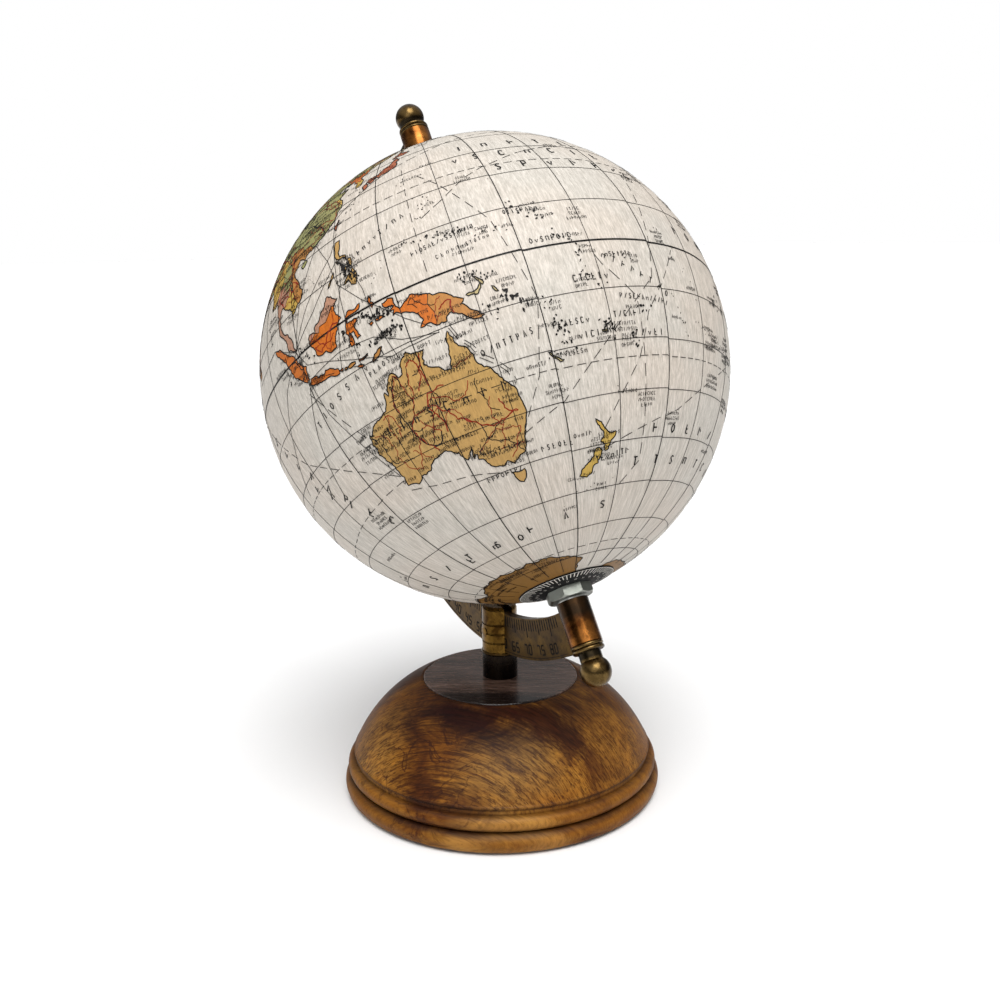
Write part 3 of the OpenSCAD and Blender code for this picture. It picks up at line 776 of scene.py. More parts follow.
# Each land: its outline as lon,lat, then its parts as lon,lat,colour letter, each point of land
# taking the colour of the nearest of them
LAND_SHAPES = {
    "australia": ("""114.1,-21.8 114.4,-22.5 115.5,-21.5 116.8,-20.6 118.6,-20.3 120.9,-19.6 122.2,-18
        122.9,-16.4 123.6,-17.4 123.9,-16.3 124.7,-15.3 125.3,-14.6 126.9,-13.8 128.2,-15.2 129.6,-14.9
        129.9,-13.4 130.8,-12.4 132.6,-11.4 133.3,-11.9 135.2,-12.2 136.8,-12.2 135.9,-13.5 135.8,-14.9
        137.2,-16 139.3,-17.4 140.8,-17.6 141.3,-16 141.6,-14 141.7,-12.6 142.5,-10.8 143.2,-12.3
        143.7,-14.1 144.8,-14.6 145.4,-15.5 145.9,-17 146.2,-18.4 147.2,-19.4 148.5,-20.2 149.3,-21.4
        150.8,-23.3 151.6,-24.1 152.9,-25.3 153.2,-27.4 153.6,-28.8 153,-31 151.8,-33 150.9,-34.8
        150,-37.2 147.9,-38 146.4,-39.1 145.4,-38.4 144.7,-38 143.5,-38.8 141.2,-38.3 139.8,-37
        139.3,-35.9 138.2,-35.6 138.5,-34.7 137.9,-34.2 137.2,-35.2 137.5,-33.9 137.8,-32.7 136.9,-33.7
        135.8,-34.9 135.1,-34.3 134.2,-32.9 131.2,-31.5 129,-31.7 126.1,-32.3 123.8,-33.8 120,-33.9
        118,-35.1 115.1,-34.3 115.7,-32.5 115.1,-30.3 114.2,-27.8 113.4,-26.2 113.9,-24.9 113.5,-24
        113.8,-22.6""",
        """134,-25,a"""),
    "tasmania": ("""144.7,-40.7 146.5,-41.1 148.2,-40.8 148.2,-42.1 146.9,-43.6 146,-43.3 145.2,-42.2""",
        """147,-42,a"""),
    "new_guinea": ("""131,-0.8 132.7,-0.4 134.1,-0.8 134.2,-2.6 135,-3.3 136.9,-2.2 137.8,-1.5 139.6,-2.3
        141,-2.6 143.5,-3.4 144.6,-3.9 145.9,-5.2 147.7,-6.1 147,-6.9 148.2,-8.4 149.3,-9.1 150.8,-10.3
        149.8,-10.6 147.9,-10.1 146.4,-8.7 144.5,-7.7 143.3,-8.4 143.2,-9.1 141,-9.1 139.9,-8.1 138.6,-8.4
        137.8,-8.3 138.9,-7.2 138.2,-5.7 136.8,-4.8 134.9,-4.3 133.6,-3.7 132.8,-4.1 133.5,-3 132.2,-2.8
        133.8,-2.3 132,-2 131,-1.4""",
        """138,-5,o 144,-5,t"""),
    "new_britain": ("148.3,-5.6 150,-5.5 151.2,-5.1 152.2,-4.2 152,-5.2 150.8,-6.2 148.8,-6", "150,-6,c"),
    "new_ireland": ("150.8,-2.6 152,-3.2 153.1,-4.3 152.7,-4.7 151.6,-3.5", "152,-4,c"),
    "bougainville": ("154.7,-5.4 155.6,-6.1 156,-6.8 155.2,-6.6", "155,-6,c"),
    "new_caledonia": ("164,-20.2 165.5,-21.1 167,-22.2 166.3,-22.2 164.6,-21", "165,-21,c"),
    "fiji": ("177.3,-17.8 178.6,-17.8 178.4,-18.2 177.4,-18.1", "178,-18,c"),
    "vanua_levu": ("178.6,-16.9 179.9,-16.3 179,-16.9", "179,-17,c"),
    "north_island": ("""172.7,-34.4 174.3,-35.3 175.2,-36.6 176,-37.4 177.2,-37.9 178.5,-37.7 177.9,-39
        177,-39.5 176.2,-41.2 175.1,-41.5 174.9,-40.7 175.1,-40.1 173.8,-39.3 174.7,-38.5 174.7,-37.2
        173.7,-36""",
        """175,-39,y"""),
    "south_island": ("""172.7,-40.5 174.2,-41.2 173.9,-42.2 172.8,-43.3 172.9,-43.9 171.3,-44.3
        170.7,-45.9 169,-46.6 166.6,-46 167.4,-44.8 169.2,-43.7 171,-42.5 171.6,-41.6""",
        """171,-43,y"""),
    "borneo": ("""109.6,2 111.3,1.5 111.4,2.5 113,3.2 114.2,4.6 115.5,5.4 116.7,7 117.7,6.4 119.2,5.2
        117.9,4.2 118,2.2 119,1 117.6,0.2 117.5,-0.8 116.4,-1.8 116.1,-3.6 114.6,-4.1 113,-3.2 111.8,-3.4
        110.2,-2.8 110,-1.3 109,0.4 109,1.5""",
        """111,2,p 114,3.2,p 116.5,5.5,p 112,-0.5,o 115,0.8,o 117.5,2.6,o 111,0,o"""),
    "sumatra": ("""95.2,5.6 97.5,5.2 99.2,3.4 100.8,2.2 103,0.6 103.6,-1 104.8,-2.2 106.1,-3.1 105.8,-5.8
        104.6,-5.8 102.4,-4 100.9,-2.2 100.2,-0.7 98.8,1.6 97.4,3 95.8,4.5""",
        """101,0,o"""),
    "java": ("""105.2,-6.8 106.2,-5.9 108.6,-6.7 110.4,-6.9 111,-6.4 112.8,-6.9 114.4,-7.7 114.4,-8.7
        112.4,-8.3 110,-8 107.8,-7.7 106.4,-7.4""",
        """110,-7,o"""),
    "bali": ("114.6,-8.2 115.6,-8.1 115.4,-8.7 114.9,-8.5", "115,-8,o"),
    "lombok": ("116,-8.4 116.7,-8.4 116.5,-8.9 115.9,-8.8", "116,-8.5,t"),
    "sumbawa": ("116.8,-8.6 118,-8.2 119,-8.4 118.9,-8.8 117.2,-9", "118,-8.5,t"),
    "flores": ("119.9,-8.4 121.5,-8.5 122.9,-8.2 122.7,-8.6 121,-8.9 119.9,-8.8", "121,-8.6,o"),
    "sumba": ("119,-9.5 120.2,-9.4 120.8,-10.1 120,-10.2", "120,-9.8,o"),
    "timor": ("123.5,-10.3 124.6,-9.1 126.2,-8.5 127.3,-8.4 126.6,-9 124.6,-10.1", "125,-9,t"),
    "sulawesi": ("""125.1,1.6 123,1 120.9,1.3 120,0.6 119.7,-0.8 119.1,-2.6 119.6,-3.5 119.5,-5.5
        120.4,-5.5 120.3,-3 121.2,-2.9 121.7,-4.7 122.8,-4.5 122.2,-3.2 121.8,-2 123.4,-0.9 121.5,-0.9
        120.1,-0.9 120.3,0.3 123,0.4 124.4,0.5""",
        """121,-2,o"""),
    "halmahera": ("127.6,1.2 128,2.1 128.5,1.2 128.1,0.6 128.8,0.3 128.2,-0.7 127.8,0.4", "128,1,o"),
    "seram": ("128,-3.2 129.6,-2.8 130.8,-3.5 129.8,-3.4 128.4,-3.5", "129,-3,o"),
    "buru": ("126.1,-3.2 127,-3.1 127.2,-3.5 126.5,-3.8", "127,-3,o"),
    "luzon": ("""120.4,16 120.6,18.5 122.2,18.5 122.2,17 121.5,15.4 121.9,14.1 123.8,13.7 124,12.6
        122.6,13.5 120.8,13.8 120.2,15""",
        """121,16,a"""),
    "mindanao": ("122,7 123.5,8.5 125.4,9.7 126.4,7.6 125.6,5.8 124.2,6.3 123.6,7.6", "125,8,a"),
    "samar": ("124.3,12.5 125.4,12.2 125.6,11.1 125.1,10.2 124.6,11.2", "125,12,a"),
    "panay": ("122,11.8 123.1,11.4 122.7,10.7 122,10.5", "122,11,a"),
    "negros": ("122.5,9.8 123.2,10.9 123.9,10.8 123.2,9.2", "123,10,a"),
    "palawan": ("117.3,8.4 119.4,11.3 119.3,10.5 117.8,8.7", "118,10,a"),
    "mindoro": ("120.4,13.4 121.4,13.2 121.2,12.3", "121,13,a"),
    "taiwan": ("121.5,25.2 121.9,24.8 120.9,22 120.1,23.2", "121,24,r"),
    "hainan": ("108.7,19.2 110.3,20.1 111,19.5 109.6,18.2", "109,19,k"),
    "honshu": ("""130.9,34 132.6,35.5 135.8,35.6 137,36.9 138.8,37.8 140,39.8 141,41.4 142,39.6 141,38.2
        140.8,35.7 139.2,34.9 138.2,34.6 136.5,34.4 135.8,33.5 135.1,34.6 132.3,33.9""",
        """138,36,r"""),
    "kyushu": ("129.8,33.2 130.9,33.9 132,33 131.3,31.4 130.5,31.1 130.1,32.2", "131,33,r"),
    "shikoku": ("132.2,33.4 133,34.1 134.6,34.2 134.1,33.3 132.9,32.8", "133,33,r"),
    "hokkaido": ("""140,41.5 141.4,42.4 143.3,42 145.5,43.3 144.3,44 141.9,45.4 141.3,43.3 139.9,42.6""",
        """142,43,r"""),
    "sakhalin": ("""142,46 143.4,46.4 142.7,48 143.2,49.3 144.6,49 143.3,52 142.7,54.3 142,53 142.1,50""",
        """143,50,c"""),
    "sri_lanka": ("79.9,8.4 80.2,9.7 81.8,7.4 81.2,6.2 80,6.3", "80,8,t"),
    "madagascar": ("""49.3,-12 50.4,-15.5 49.2,-18.5 47.2,-25 45.1,-25.5 43.5,-23.2 44.4,-20 44.4,-16.4
        46.6,-15.6 48.2,-13.7""",
        """47,-20,o"""),
    "great_britain": ("""-5.6,50.1 -2.9,50.7 1.3,51.2 1.6,52.7 0.2,53 -1.8,55.2 -3,56 -2,57.6 -4.2,57.6
        -5,58.6 -6,56.6 -4.8,54.9 -3.2,54.8 -4.5,53.2 -4.3,52.3 -5.1,51.8 -3.2,51.4""",
        """-2,53,r"""),
    "ireland": ("-6.1,53.5 -6.4,52.2 -10,51.7 -9.9,54 -8.2,55 -5.7,54.6", "-8,53,y"),
    "iceland": ("""-22.7,63.9 -18.7,63.4 -14,64.7 -14.9,66.2 -18,66 -20.5,65.7 -22.3,66.3 -24.2,65.5
        -22,64.6""",
        """-19,65,p"""),
    "svalbard": ("11,79 15,80 26,80 20,78 16.5,76.7", "18,78,c"),
    "novaya_zemlya": ("52,71.5 57,70.6 57.5,72.5 68.5,76.5 62,76 55,74", "60,74,c"),
    "greenland": ("""-73,78.2 -65,81 -45,82.5 -30,83 -12.5,81.2 -18,79 -20,75 -22,72 -25,69.5 -37,65.7
        -41,63 -43.5,60 -48.5,61.2 -51,64 -53.5,67 -51,69.5 -54.5,72 -59,75.8 -68,76.2""",
        """-40,72,c"""),
    "newfoundland": ("-59.3,47.7 -53,46.7 -53.6,49 -55.8,51.5 -57.5,50.2", "-56,49,o"),
    "cuba": ("-84.9,21.9 -81,23.1 -77,21.8 -74.3,20.2 -77.6,19.9 -78.4,21 -82,22.5", "-79,21,r"),
    "hispaniola": ("-74.3,18.4 -72.9,19.9 -70,19.7 -68.5,18.6 -71,17.9", "-72,19,t"),
    "jamaica": ("-78.3,18.4 -76.3,18.1 -77.2,17.8", "-77,18,y"),
    "puerto_rico": ("-67.2,18.4 -65.7,18.3 -66.5,18", "-66,18,o"),
    "hawaii": ("204,20.2 205.2,19.5 204.3,19", "204,19,y"),
    "baffin": ("""-89,71 -80,73.7 -73,71.5 -67,69.5 -62,66.8 -65,62 -71,62.8 -78,64.5 -73,66.5 -73,68.3
        -81,69.8""",
        """-72,68,o"""),
    "victoria": ("-117,69 -109,68.6 -102,69.6 -105,73 -114,73 -118,71.5", "-110,71,o"),
    "banks": ("-125,72 -120,71.6 -117,73.3 -122,74.3", "-121,73,o"),
    "ellesmere": ("-89,77 -79,76.4 -75,79 -64,82 -75,83 -91,81.5", "-80,80,o"),
    "devon": ("-95,75 -80,75 -82,76.3 -94,76.3", "-88,75,o"),
    "fuego": ("-68.5,-52.7 -66,-54.7 -69.5,-55.2 -72,-54", "-68,-54,t"),
    "falklands": ("-61,-51.5 -58,-51.6 -59.5,-52.3", "-60,-52,r"),
    "africa": ("""-6,35.8 -2,35.1 3,36.8 10,37.2 11,35 10.2,34 11.5,33.1 15.2,32.2 18,30.6 20.1,31.2
        20.4,32.5 22.8,32.8 25,31.6 29,30.9 31.5,31.4 32.6,31 32.6,29.9 34,26.8 35.6,24 37.2,21 37.6,18.5
        39.4,15.3 43.2,12 43.7,11 51.2,11.9 50.7,9.3 48,4.6 44,1 41,-2.2 39.2,-4.8 39.5,-7.2 40.6,-10.8
        40.7,-15 36.5,-18.6 34.8,-19.9 35.5,-23.8 32.8,-25.8 32.4,-28.5 30,-31.3 26.5,-33.8 22,-34.2
        18.4,-34.2 18.2,-31.8 15.2,-27 14.4,-22.5 11.8,-17.5 13.6,-12 12.2,-6 9.3,-2 9.7,3.4 8,4.6 6,4.3
        4,6.3 1.2,6 -3,5 -7.6,4.4 -11.3,6.8 -13.3,9 -16.7,12.4 -17.4,14.7 -16.3,19 -17,21 -14.6,26
        -12.9,27.9 -9.8,29.8 -9.6,31.5 -6.8,34""",
        """-6,31,r -12,24,y 3,28,k 9.5,34,o 18,27,y 29,27,p -10,20,p -15,14,o -11,10.5,y -8,7,k -5,13,t
        -5,7,r -1,8,p 1.5,9,o 8,9,c 9,17,o 19,15,r 30,14,y 40,9,k 46,5,o 38,0,p 33,1,o 24,-2,t 20,6,k
        12,5,y 12,-1,r 35,-6,k 28,-13,p 18,-12,o 37,-15,r 17,-22,k 24,-22,y 30,-19,t 24,-30,o 39,15,t
        34,-13,c"""),
    "eurasia": ("""-9.5,38.7 -8.8,43.2 -1.8,43.4 -1.2,46 -4.7,48.2 -1.6,48.8 0.3,49.6 1.7,50.9 4.3,52.2
        7,53.5 8.3,55 8.5,57 10.6,57.6 10,55 11,54 14,54 18.5,54.8 21,55.5 21.6,57.5 24.2,57.2 23.5,59.2
        29.8,59.9 25,60.2 22.8,60.3 21.4,61.5 22.8,63.8 25.3,65 22,65.6 20,63.6 17.4,62 17.3,60.6
        18.7,59.6 16.6,57.5 14.4,55.6 12.8,55.7 11.1,59 8.2,58.1 5.4,59.3 5.2,62 10,64.1 13.2,66.5
        15.8,68.6 19.5,70 25.7,71 31,70.2 36,69 41,67 39.5,66.1 34.6,66.7 33,66.5 35,64.4 37.9,63.9
        40,64.8 44,66.1 44.2,68 47,67.6 53,68.6 60,68.8 68.8,68.5 67,71 69.5,73 73,71.3 73.6,68.2 77,72.2
        80.5,73.6 87,75 98,76.2 104.3,77.6 113.5,75.8 110,74.2 123,73 129,71 134,71.6 140,72.5 150,71.6
        160,69.7 170,69.2 176,69.8 180,69 190,66 186.5,64.6 181,65.3 178.5,64.3 179.3,62.5 174,61.5
        170.3,60 163.4,58.8 162.6,56.2 160,53 156.8,51 155.8,56.7 159,59.5 163,61.5 160,61.8 156,61.4
        152,59 143,59.3 138,56.5 135.5,54.7 141,53.2 140.5,48.5 138,46 135.5,44 131.5,43 129.8,41
        127.5,39.7 129.4,37 129,35.2 126.5,34.4 126.8,37 125,38 124.4,40 121.4,39 121.8,40.7 118,39.1
        119,37.4 122.4,37.2 119.5,35 120.9,33.2 121.8,31.5 121.9,29.5 120,26.5 117,23.6 114,22.3
        110.5,21.3 109.9,20.4 108,21.6 105.8,19 107.5,16.5 109.3,13 109,11.4 106.8,10.3 104.8,8.7 105,10
        102.6,12 100.9,13.4 99.9,12.8 99.3,9.6 100.5,7.2 102.2,6.2 103.4,4.4 104.1,1.4 101.4,2.8 100.4,6
        98.4,8 98.6,12 97.6,16.4 94.4,16 94.2,18.8 92,22 89.5,21.8 87,21.4 85.5,19.8 82.2,16.6 80.1,15
        80.3,13 79.9,10.4 78.2,8.8 77.5,8.1 76.2,10 74.7,13.5 73.3,17 72.7,21 70.4,20.9 69,22.4 67,24.8
        61.7,25.1 57.3,25.7 56.4,27 52.5,27.6 50,30 48,29.9 48.8,28 50.1,26.5 51.2,25.9 51.4,24.3 54,24.1
        56.3,26 57,24 59.8,22.5 57.9,19.2 55.2,17.4 52.2,15.6 48.7,14 45,12.8 43.4,12.7 42.7,16.5
        39.1,21.3 37.2,24.8 34.9,27.9 34.9,29.5 34.3,31.3 35.9,35.5 36,36.7 32.5,36.1 30.6,36.8 27.4,36.8
        26.3,39.2 27.2,40.4 29.2,41.1 32,41.8 35,42 38.5,41 41.6,41.6 38,44.4 37.3,46.6 35,46.1 36.4,45.3
        33.7,44.5 32.8,46 30.8,46.4 28.6,43.9 28,42 28.2,41.2 26.1,40.7 23.8,40.2 24,37.8 22.9,36.5
        21.2,37.6 19.4,40.5 19.4,42 16,43.5 13.6,45.4 12.4,44.9 13.8,42.8 16,41.6 18.5,40.1 16.9,39.7
        16.2,38 15.4,40 12.2,41.8 10.3,43.5 8.8,44.4 4.8,43.4 3.2,42.2 0,39.8 -0.4,38.3 -2.1,36.7
        -5.6,36.1 -8.9,37""",
        """-8,40,r -3,40,y 2,47,p 10,51,k 11,44,t 9,61,r 16,63,y 27,63,p 20,52,o 25,57,k 31,49,y 21,44,k
        26,46,t 15,48,o 34,39,t 45,58,c 58,56,c 75,64,c 100,62,c 130,62,c 155,65,c 180,67,c 160,57,c
        134,48,c 68,48,o 58,40,p 66,41,y 75,41,k 54,33,k 43,33,y 45,24,t 47,15,r 57,20,p 66,34,r 68,28,y
        78,26,p 78,14,p 85,28,o 91,25,k 96,21,y 85,38,k 100,33,k 112,30,k 118,41,k 126,46,k 90,44,k
        103,46.5,t 92,48,t 127,40,o 127,36,y 101,16,p 106,19,t 108,14,t 104.5,12.5,y 103,18.5,k 102,4,p
        43,42,o 36,34,o"""),
    "north_america": ("""-168,65.6 -162,66.5 -166.5,68.3 -156.7,71.3 -141,69.6 -128,70.3 -115,68.2
        -108,67.8 -96,68 -94,71.8 -86,68.5 -82,68.5 -87,64.8 -94.5,61 -94,58.8 -88,56.8 -82.3,55.1
        -80,51.5 -79,54.5 -76.5,57 -78,62.3 -70,61 -69.5,58.8 -64.5,60.3 -61.5,56.8 -55.8,53 -60,50.2
        -66.5,50.2 -69.5,47.8 -64.3,48.8 -64.8,46.5 -61,45.6 -65.8,43.6 -64.8,45.3 -67,44.7 -70.5,43.2
        -70,41.7 -74,40.6 -75.8,37 -75.6,35.3 -78,33.9 -81.3,31 -80,26.8 -80.6,25.2 -81.8,26 -82.8,28
        -84,30 -88,30.4 -89.5,29.2 -94,29.6 -97.3,27.3 -97.7,22.5 -95.8,18.7 -92,18.5 -90.5,20.9 -87,21.4
        -88.2,18 -88.5,15.9 -83.4,15 -83.7,11 -82,9 -79.6,9.5 -77.4,8.6 -78.2,7.6 -80.2,7.5 -83,8.4
        -85.7,10 -87.6,13 -92,14.4 -95,16.2 -101.5,17.7 -105.6,20.4 -106.5,23.4 -109.5,26.5 -112.8,30
        -114.5,31.5 -112,27.5 -109.6,23.2 -112.2,25.4 -115,28 -117.2,32.6 -120.6,34.5 -122.5,37.6
        -124.3,40.4 -124.1,46.2 -124,48.3 -128,51.5 -130.3,54.5 -134.5,58 -139.7,59.7 -146,60.8
        -151.5,59.5 -158,56.5 -164,54.7 -158,58.6 -162,59.8 -165.5,61.8 -161,64.3 -166,64.5""",
        """-152,65,y -155,61,y -120,62,o -100,58,o -80,50,o -70,52,o -118,53,o -110,51,o -115,43,k
        -100,41,k -85,38,k -75,43,k -92,33,k -105,34,k -118,38,k -120,46,k -104,25,t -98,19,t -112,29,t
        -90.5,15.5,r -86,14,y -84,11,p -80,8.6,o -89,20,t"""),
    "south_america": ("""-77.4,8.6 -75.5,10.6 -71.8,12.2 -71.4,10.8 -68,11 -62,10.7 -57,6 -51.5,4.3
        -50,0.6 -48.5,-1 -44.3,-2.6 -39,-3.2 -35.2,-5.3 -34.9,-8.2 -38.5,-13 -39.2,-17.6 -40.8,-21.8
        -43.5,-23 -48,-25.5 -48.7,-28.5 -52.3,-32.7 -54.9,-34.9 -58.3,-34 -57,-36.5 -61.8,-39 -64.8,-41
        -63.8,-42.6 -67.4,-46 -65.9,-47.9 -69,-51 -68.6,-52.4 -72,-53.6 -74.6,-51.5 -75.3,-47 -72.8,-42
        -73.6,-38 -71.5,-32.5 -70.3,-24 -70.3,-18.4 -76,-14.5 -79.8,-7.5 -81.3,-4.8 -80,-2.8 -80.3,0
        -77.3,4 -77.8,7""",
        """-74,5,o -66,8,y -59,5,p -53,4,t -78,-1,y -75,-9,p -70,-13,p -64,-17,k -55,-8,o -48,-12,o
        -62,-5,o -52,-25,o -41,-9,o -58,-23,y -56,-33,r -70.5,-35,r -70,-24,r -73,-47,r -65,-35,t
        -62,-28,t -68,-46,t"""),
    "antarctica": ("""0,-70 15,-69.8 33,-68.8 50,-66.8 57,-67 70,-68.6 73,-69.8 80,-68 90,-66.7 100,-66
        110,-66 120,-66.8 130,-66.2 140,-66.8 150,-68.5 160,-69.8 170,-71.5 167,-75 165,-78 180,-78.3
        198,-78 205,-76.4 215,-75 225,-74.5 240,-74 255,-73.2 262,-72.6 275,-73.2 285,-73.6 291,-71
        293.5,-67 302,-63.5 299,-66.5 298,-70 299,-74 308,-77.6 322,-78 330,-76 340,-73.7 350,-71.6""",
        """0,-90,b"""),
}

# Inland waters, in the ocean's colour
WATERS = {
    "caspian": "47.6,45 51,46.8 53,45 51,44 54,41.5 53.8,37.2 49.6,37.6 49.6,40.3 47.7,42.8",
    "aral": "58.5,45 61,46.5 61,44.5 59,43.8",
    "baikal": "104,51.6 109.5,55.5 108.8,53.3 105.5,51.5",
    "balkhash": "74,46.3 77,46.8 79,46.4 76,45.9",
    "victoria_lake": "32,0.3 34,0.2 33.8,-2.4 32,-2.4",
    "tanganyika": "29.4,-3.5 30,-5 31,-8.5 30.2,-7",
    "nyasa": "34,-9.6 34.8,-11.5 35,-14.2 34.3,-12.5",
    "superior": "-92,46.8 -88,48.7 -84.8,46.8 -88,46.8",
    "michigan": "-87.8,42 -87.8,45 -85.2,45.8 -86.3,42.5",
    "huron": "-84.4,45.9 -80.5,45.6 -81.8,43.2 -83.5,44.5",
    "erie": "-83.2,41.7 -79,42.9 -81,41.8",
    "ontario": "-79.6,43.4 -76.3,44 -76.6,43.4",
    "winnipeg": "-99,53.5 -97,50.5 -96.5,51.5 -98,53.8",
    "great_slave": "-116,61.2 -109,62.6 -112,61.4",
    "great_bear": "-124,66 -119,66.8 -120,65.2",
}

# Legs of a coast shorter than this, in radians, are rough enough
SHORT_LEG = 0.012


def midpoints(points, rng, passes, rough, closed=True):
    """A natural coast from a coarse outline: each leg's middle is pushed aside, pass after pass."""
    for _ in range(passes):
        out = []
        for (a, b), (c, d) in zip(points, points[1:] + points[:1] if closed else points[1:]):
            out.append((a, b))
            if math.hypot(c - a, d - b) > SHORT_LEG:
                push = rng.uniform(-rough, rough)
                out.append(((a + c) / 2 + (b - d) * push, (b + d) / 2 + (c - a) * push))
        points = out if closed else out + points[-1:]
    return points


class Projection:
    """A flat map round the middle of some points: angle from the middle as distance."""

    def __init__(self, lonlat):
        units = [self.unit(*p) for p in lonlat]
        self.middle = sum(units, Vector()).normalized()
        self.east = self.middle.orthogonal().normalized()
        self.north = self.middle.cross(self.east)

    @staticmethod
    def unit(lon, lat):
        return Vector((math.cos(lat * DEG) * math.cos(lon * DEG), math.cos(lat * DEG) * math.sin(lon * DEG),
                       math.sin(lat * DEG)))

    def flat(self, lon, lat):
        u = self.unit(lon, lat)
        angle = self.middle.angle(u)
        away = Vector((u.dot(self.east), u.dot(self.north)))
        return tuple(away.normalized() * angle) if angle > TINY else (0.0, 0.0)

    def lonlat(self, x, y):
        angle = math.hypot(x, y)
        if angle < TINY:
            u = self.middle
        else:
            u = self.middle * math.cos(angle) + (self.east * x + self.north * y) * (math.sin(angle) / angle)
        return math.degrees(math.atan2(u.y, u.x)), math.degrees(math.asin(max(-1, min(1, u.z))))


# Spacing of the points inside a land, in radians, and how far each is moved off its place, as a share of it
GRID = 1.6 * DEG
JITTER = 0.35


def triangulate(outline, rng):
    """Points and triangles inside a flat outline, with jittered inner points so that they follow the ball."""
    xs, ys = zip(*outline)
    inner = []
    y = min(ys)
    while y < max(ys):
        x = min(xs)
        while x < max(xs):
            inner.append(Vector((x + rng.uniform(-JITTER, JITTER) * GRID,
                                 y + rng.uniform(-JITTER, JITTER) * GRID)))
            x += GRID
        y += GRID
    ring = [Vector(p) for p in outline]
    points, _, faces = delaunay_2d_cdt(ring + inner, [], [list(range(len(ring)))], 1, 1e-6)[:3]
    return points, faces


def nearest_part(flat_parts, x, y):
    """The colour letter of the part that lies nearest."""
    return min(flat_parts, key=lambda part: (part[0] - x) ** 2 + (part[1] - y) ** 2)[2]


# Widths of the lines round lands and inland waters, and between the parts of a land
COAST_LINE = 0.28 * MM
SHORE_LINE = 0.12 * MM
BORDER_LINE = 0.15 * MM
# An outline with fewer points than this belongs to a small island
SMALL_LAND = 12


def make_lands():
    """The land colours, coasts, borders and rivers; returns the points inside the lands, as lon, lat."""
    letters = sorted(LANDS)
    land, coast, inland = Sheet(), Sheet(), Sheet()
    inner_spots = []
    for number, (name, (outline_text, parts_text)) in enumerate(LAND_SHAPES.items()):
        rng = random.Random(100 + number)
        outline = parse(outline_text)
        projection = Projection(outline)
        passes, rough = (2, 0.10) if len(outline) < SMALL_LAND else (3, 0.16)
        flat = midpoints([projection.flat(*p) for p in outline], rng, passes, rough)
        parts = []
        for text in parts_text.split():
            lon, lat, letter = text.split(",")
            parts.append((*projection.flat(float(lon), float(lat)), letter))
        points, faces = triangulate(flat, rng)
        where = [projection.lonlat(*p) for p in points]
        colours = [nearest_part(parts, sum(points[i].x for i in f) / 3, sum(points[i].y for i in f) / 3)
                   for f in faces]
        land.add([on_ball(*p, LAND_R) for p in where], faces, [letters.index(c) for c in colours])
        ribbon(coast, [projection.lonlat(*p) for p in flat], COAST_LINE, INK_R + COAST_UP, closed=True)
        sides = {}
        for f, colour in zip(faces, colours):
            for i, j in zip(f, list(f[1:]) + [f[0]]):
                sides.setdefault((min(i, j), max(i, j)), []).append(colour)
        near = {}
        for (i, j), pair in sides.items():
            if len(pair) == 2:
                near.setdefault(i, []).append(j)
                near.setdefault(j, []).append(i)
                if pair[0] != pair[1]:
                    ribbon(inland, [where[i], where[j]], BORDER_LINE, INK_R + BORDER_UP)
        rim = {i for pair, used in sides.items() if len(used) == 1 for i in pair}
        inside = [i for i in sorted(near) if i not in rim]
        inner_spots += [where[i] for i in inside]
        if name != "antarctica":
            walk_lines(inland, rng, inside, near, points, projection, rim)
    for number, outline_text in enumerate(WATERS.values()):
        rng = random.Random(500 + number)
        outline = parse(outline_text)
        projection = Projection(outline)
        flat = midpoints([projection.flat(*p) for p in outline], rng, 2, 0.1)
        points, faces = triangulate(flat, rng)
        land.add([on_ball(*projection.lonlat(*p), INK_R) for p in points], faces, len(letters))
        ribbon(coast, [projection.lonlat(*p) for p in flat], SHORE_LINE, INK_R + COAST_UP, closed=True)
    map_piece(land, "map_lands", [LANDS[k] for k in letters] + [MATERIALS["ocean"]])
    map_piece(coast, "map_coasts", [MATERIALS["ink"]])
    map_piece(inland, "map_borders", [MATERIALS["ink"], MATERIALS["brown_ink"]])
    return inner_spots


def walk_lines(sheet, rng, inside, near, points, projection, rim):
    """Rivers and roads: wandering walks from point to point inside a land, one for every six points."""
    for _ in range(len(inside) // 6):
        here = rng.choice(inside)
        heading = Vector((rng.uniform(-1, 1), rng.uniform(-1, 1)))
        path = [here]
        for _ in range(rng.randint(3, 8)):
            options = [j for j in near[here] if j not in path and j not in rim]
            if not options:
                break
            here = max(options, key=lambda j: (points[j] - points[path[-1]]).normalized().dot(heading)
                       + rng.uniform(0, 0.9))
            heading = (points[here] - points[path[-1]]).normalized()
            path.append(here)
        if len(path) > 2:
            slot = 1 if rng.random() < 0.7 else 0
            line = midpoints([tuple(points[i]) for i in path], rng, 2, 0.2, False)
            ribbon(sheet, [projection.lonlat(*p) for p in line], rng.choice((0.16, 0.2, 0.28)) * MM,
                   INK_R + RIVER_UP, slot)


# ---------------------------------------------------------------- islands

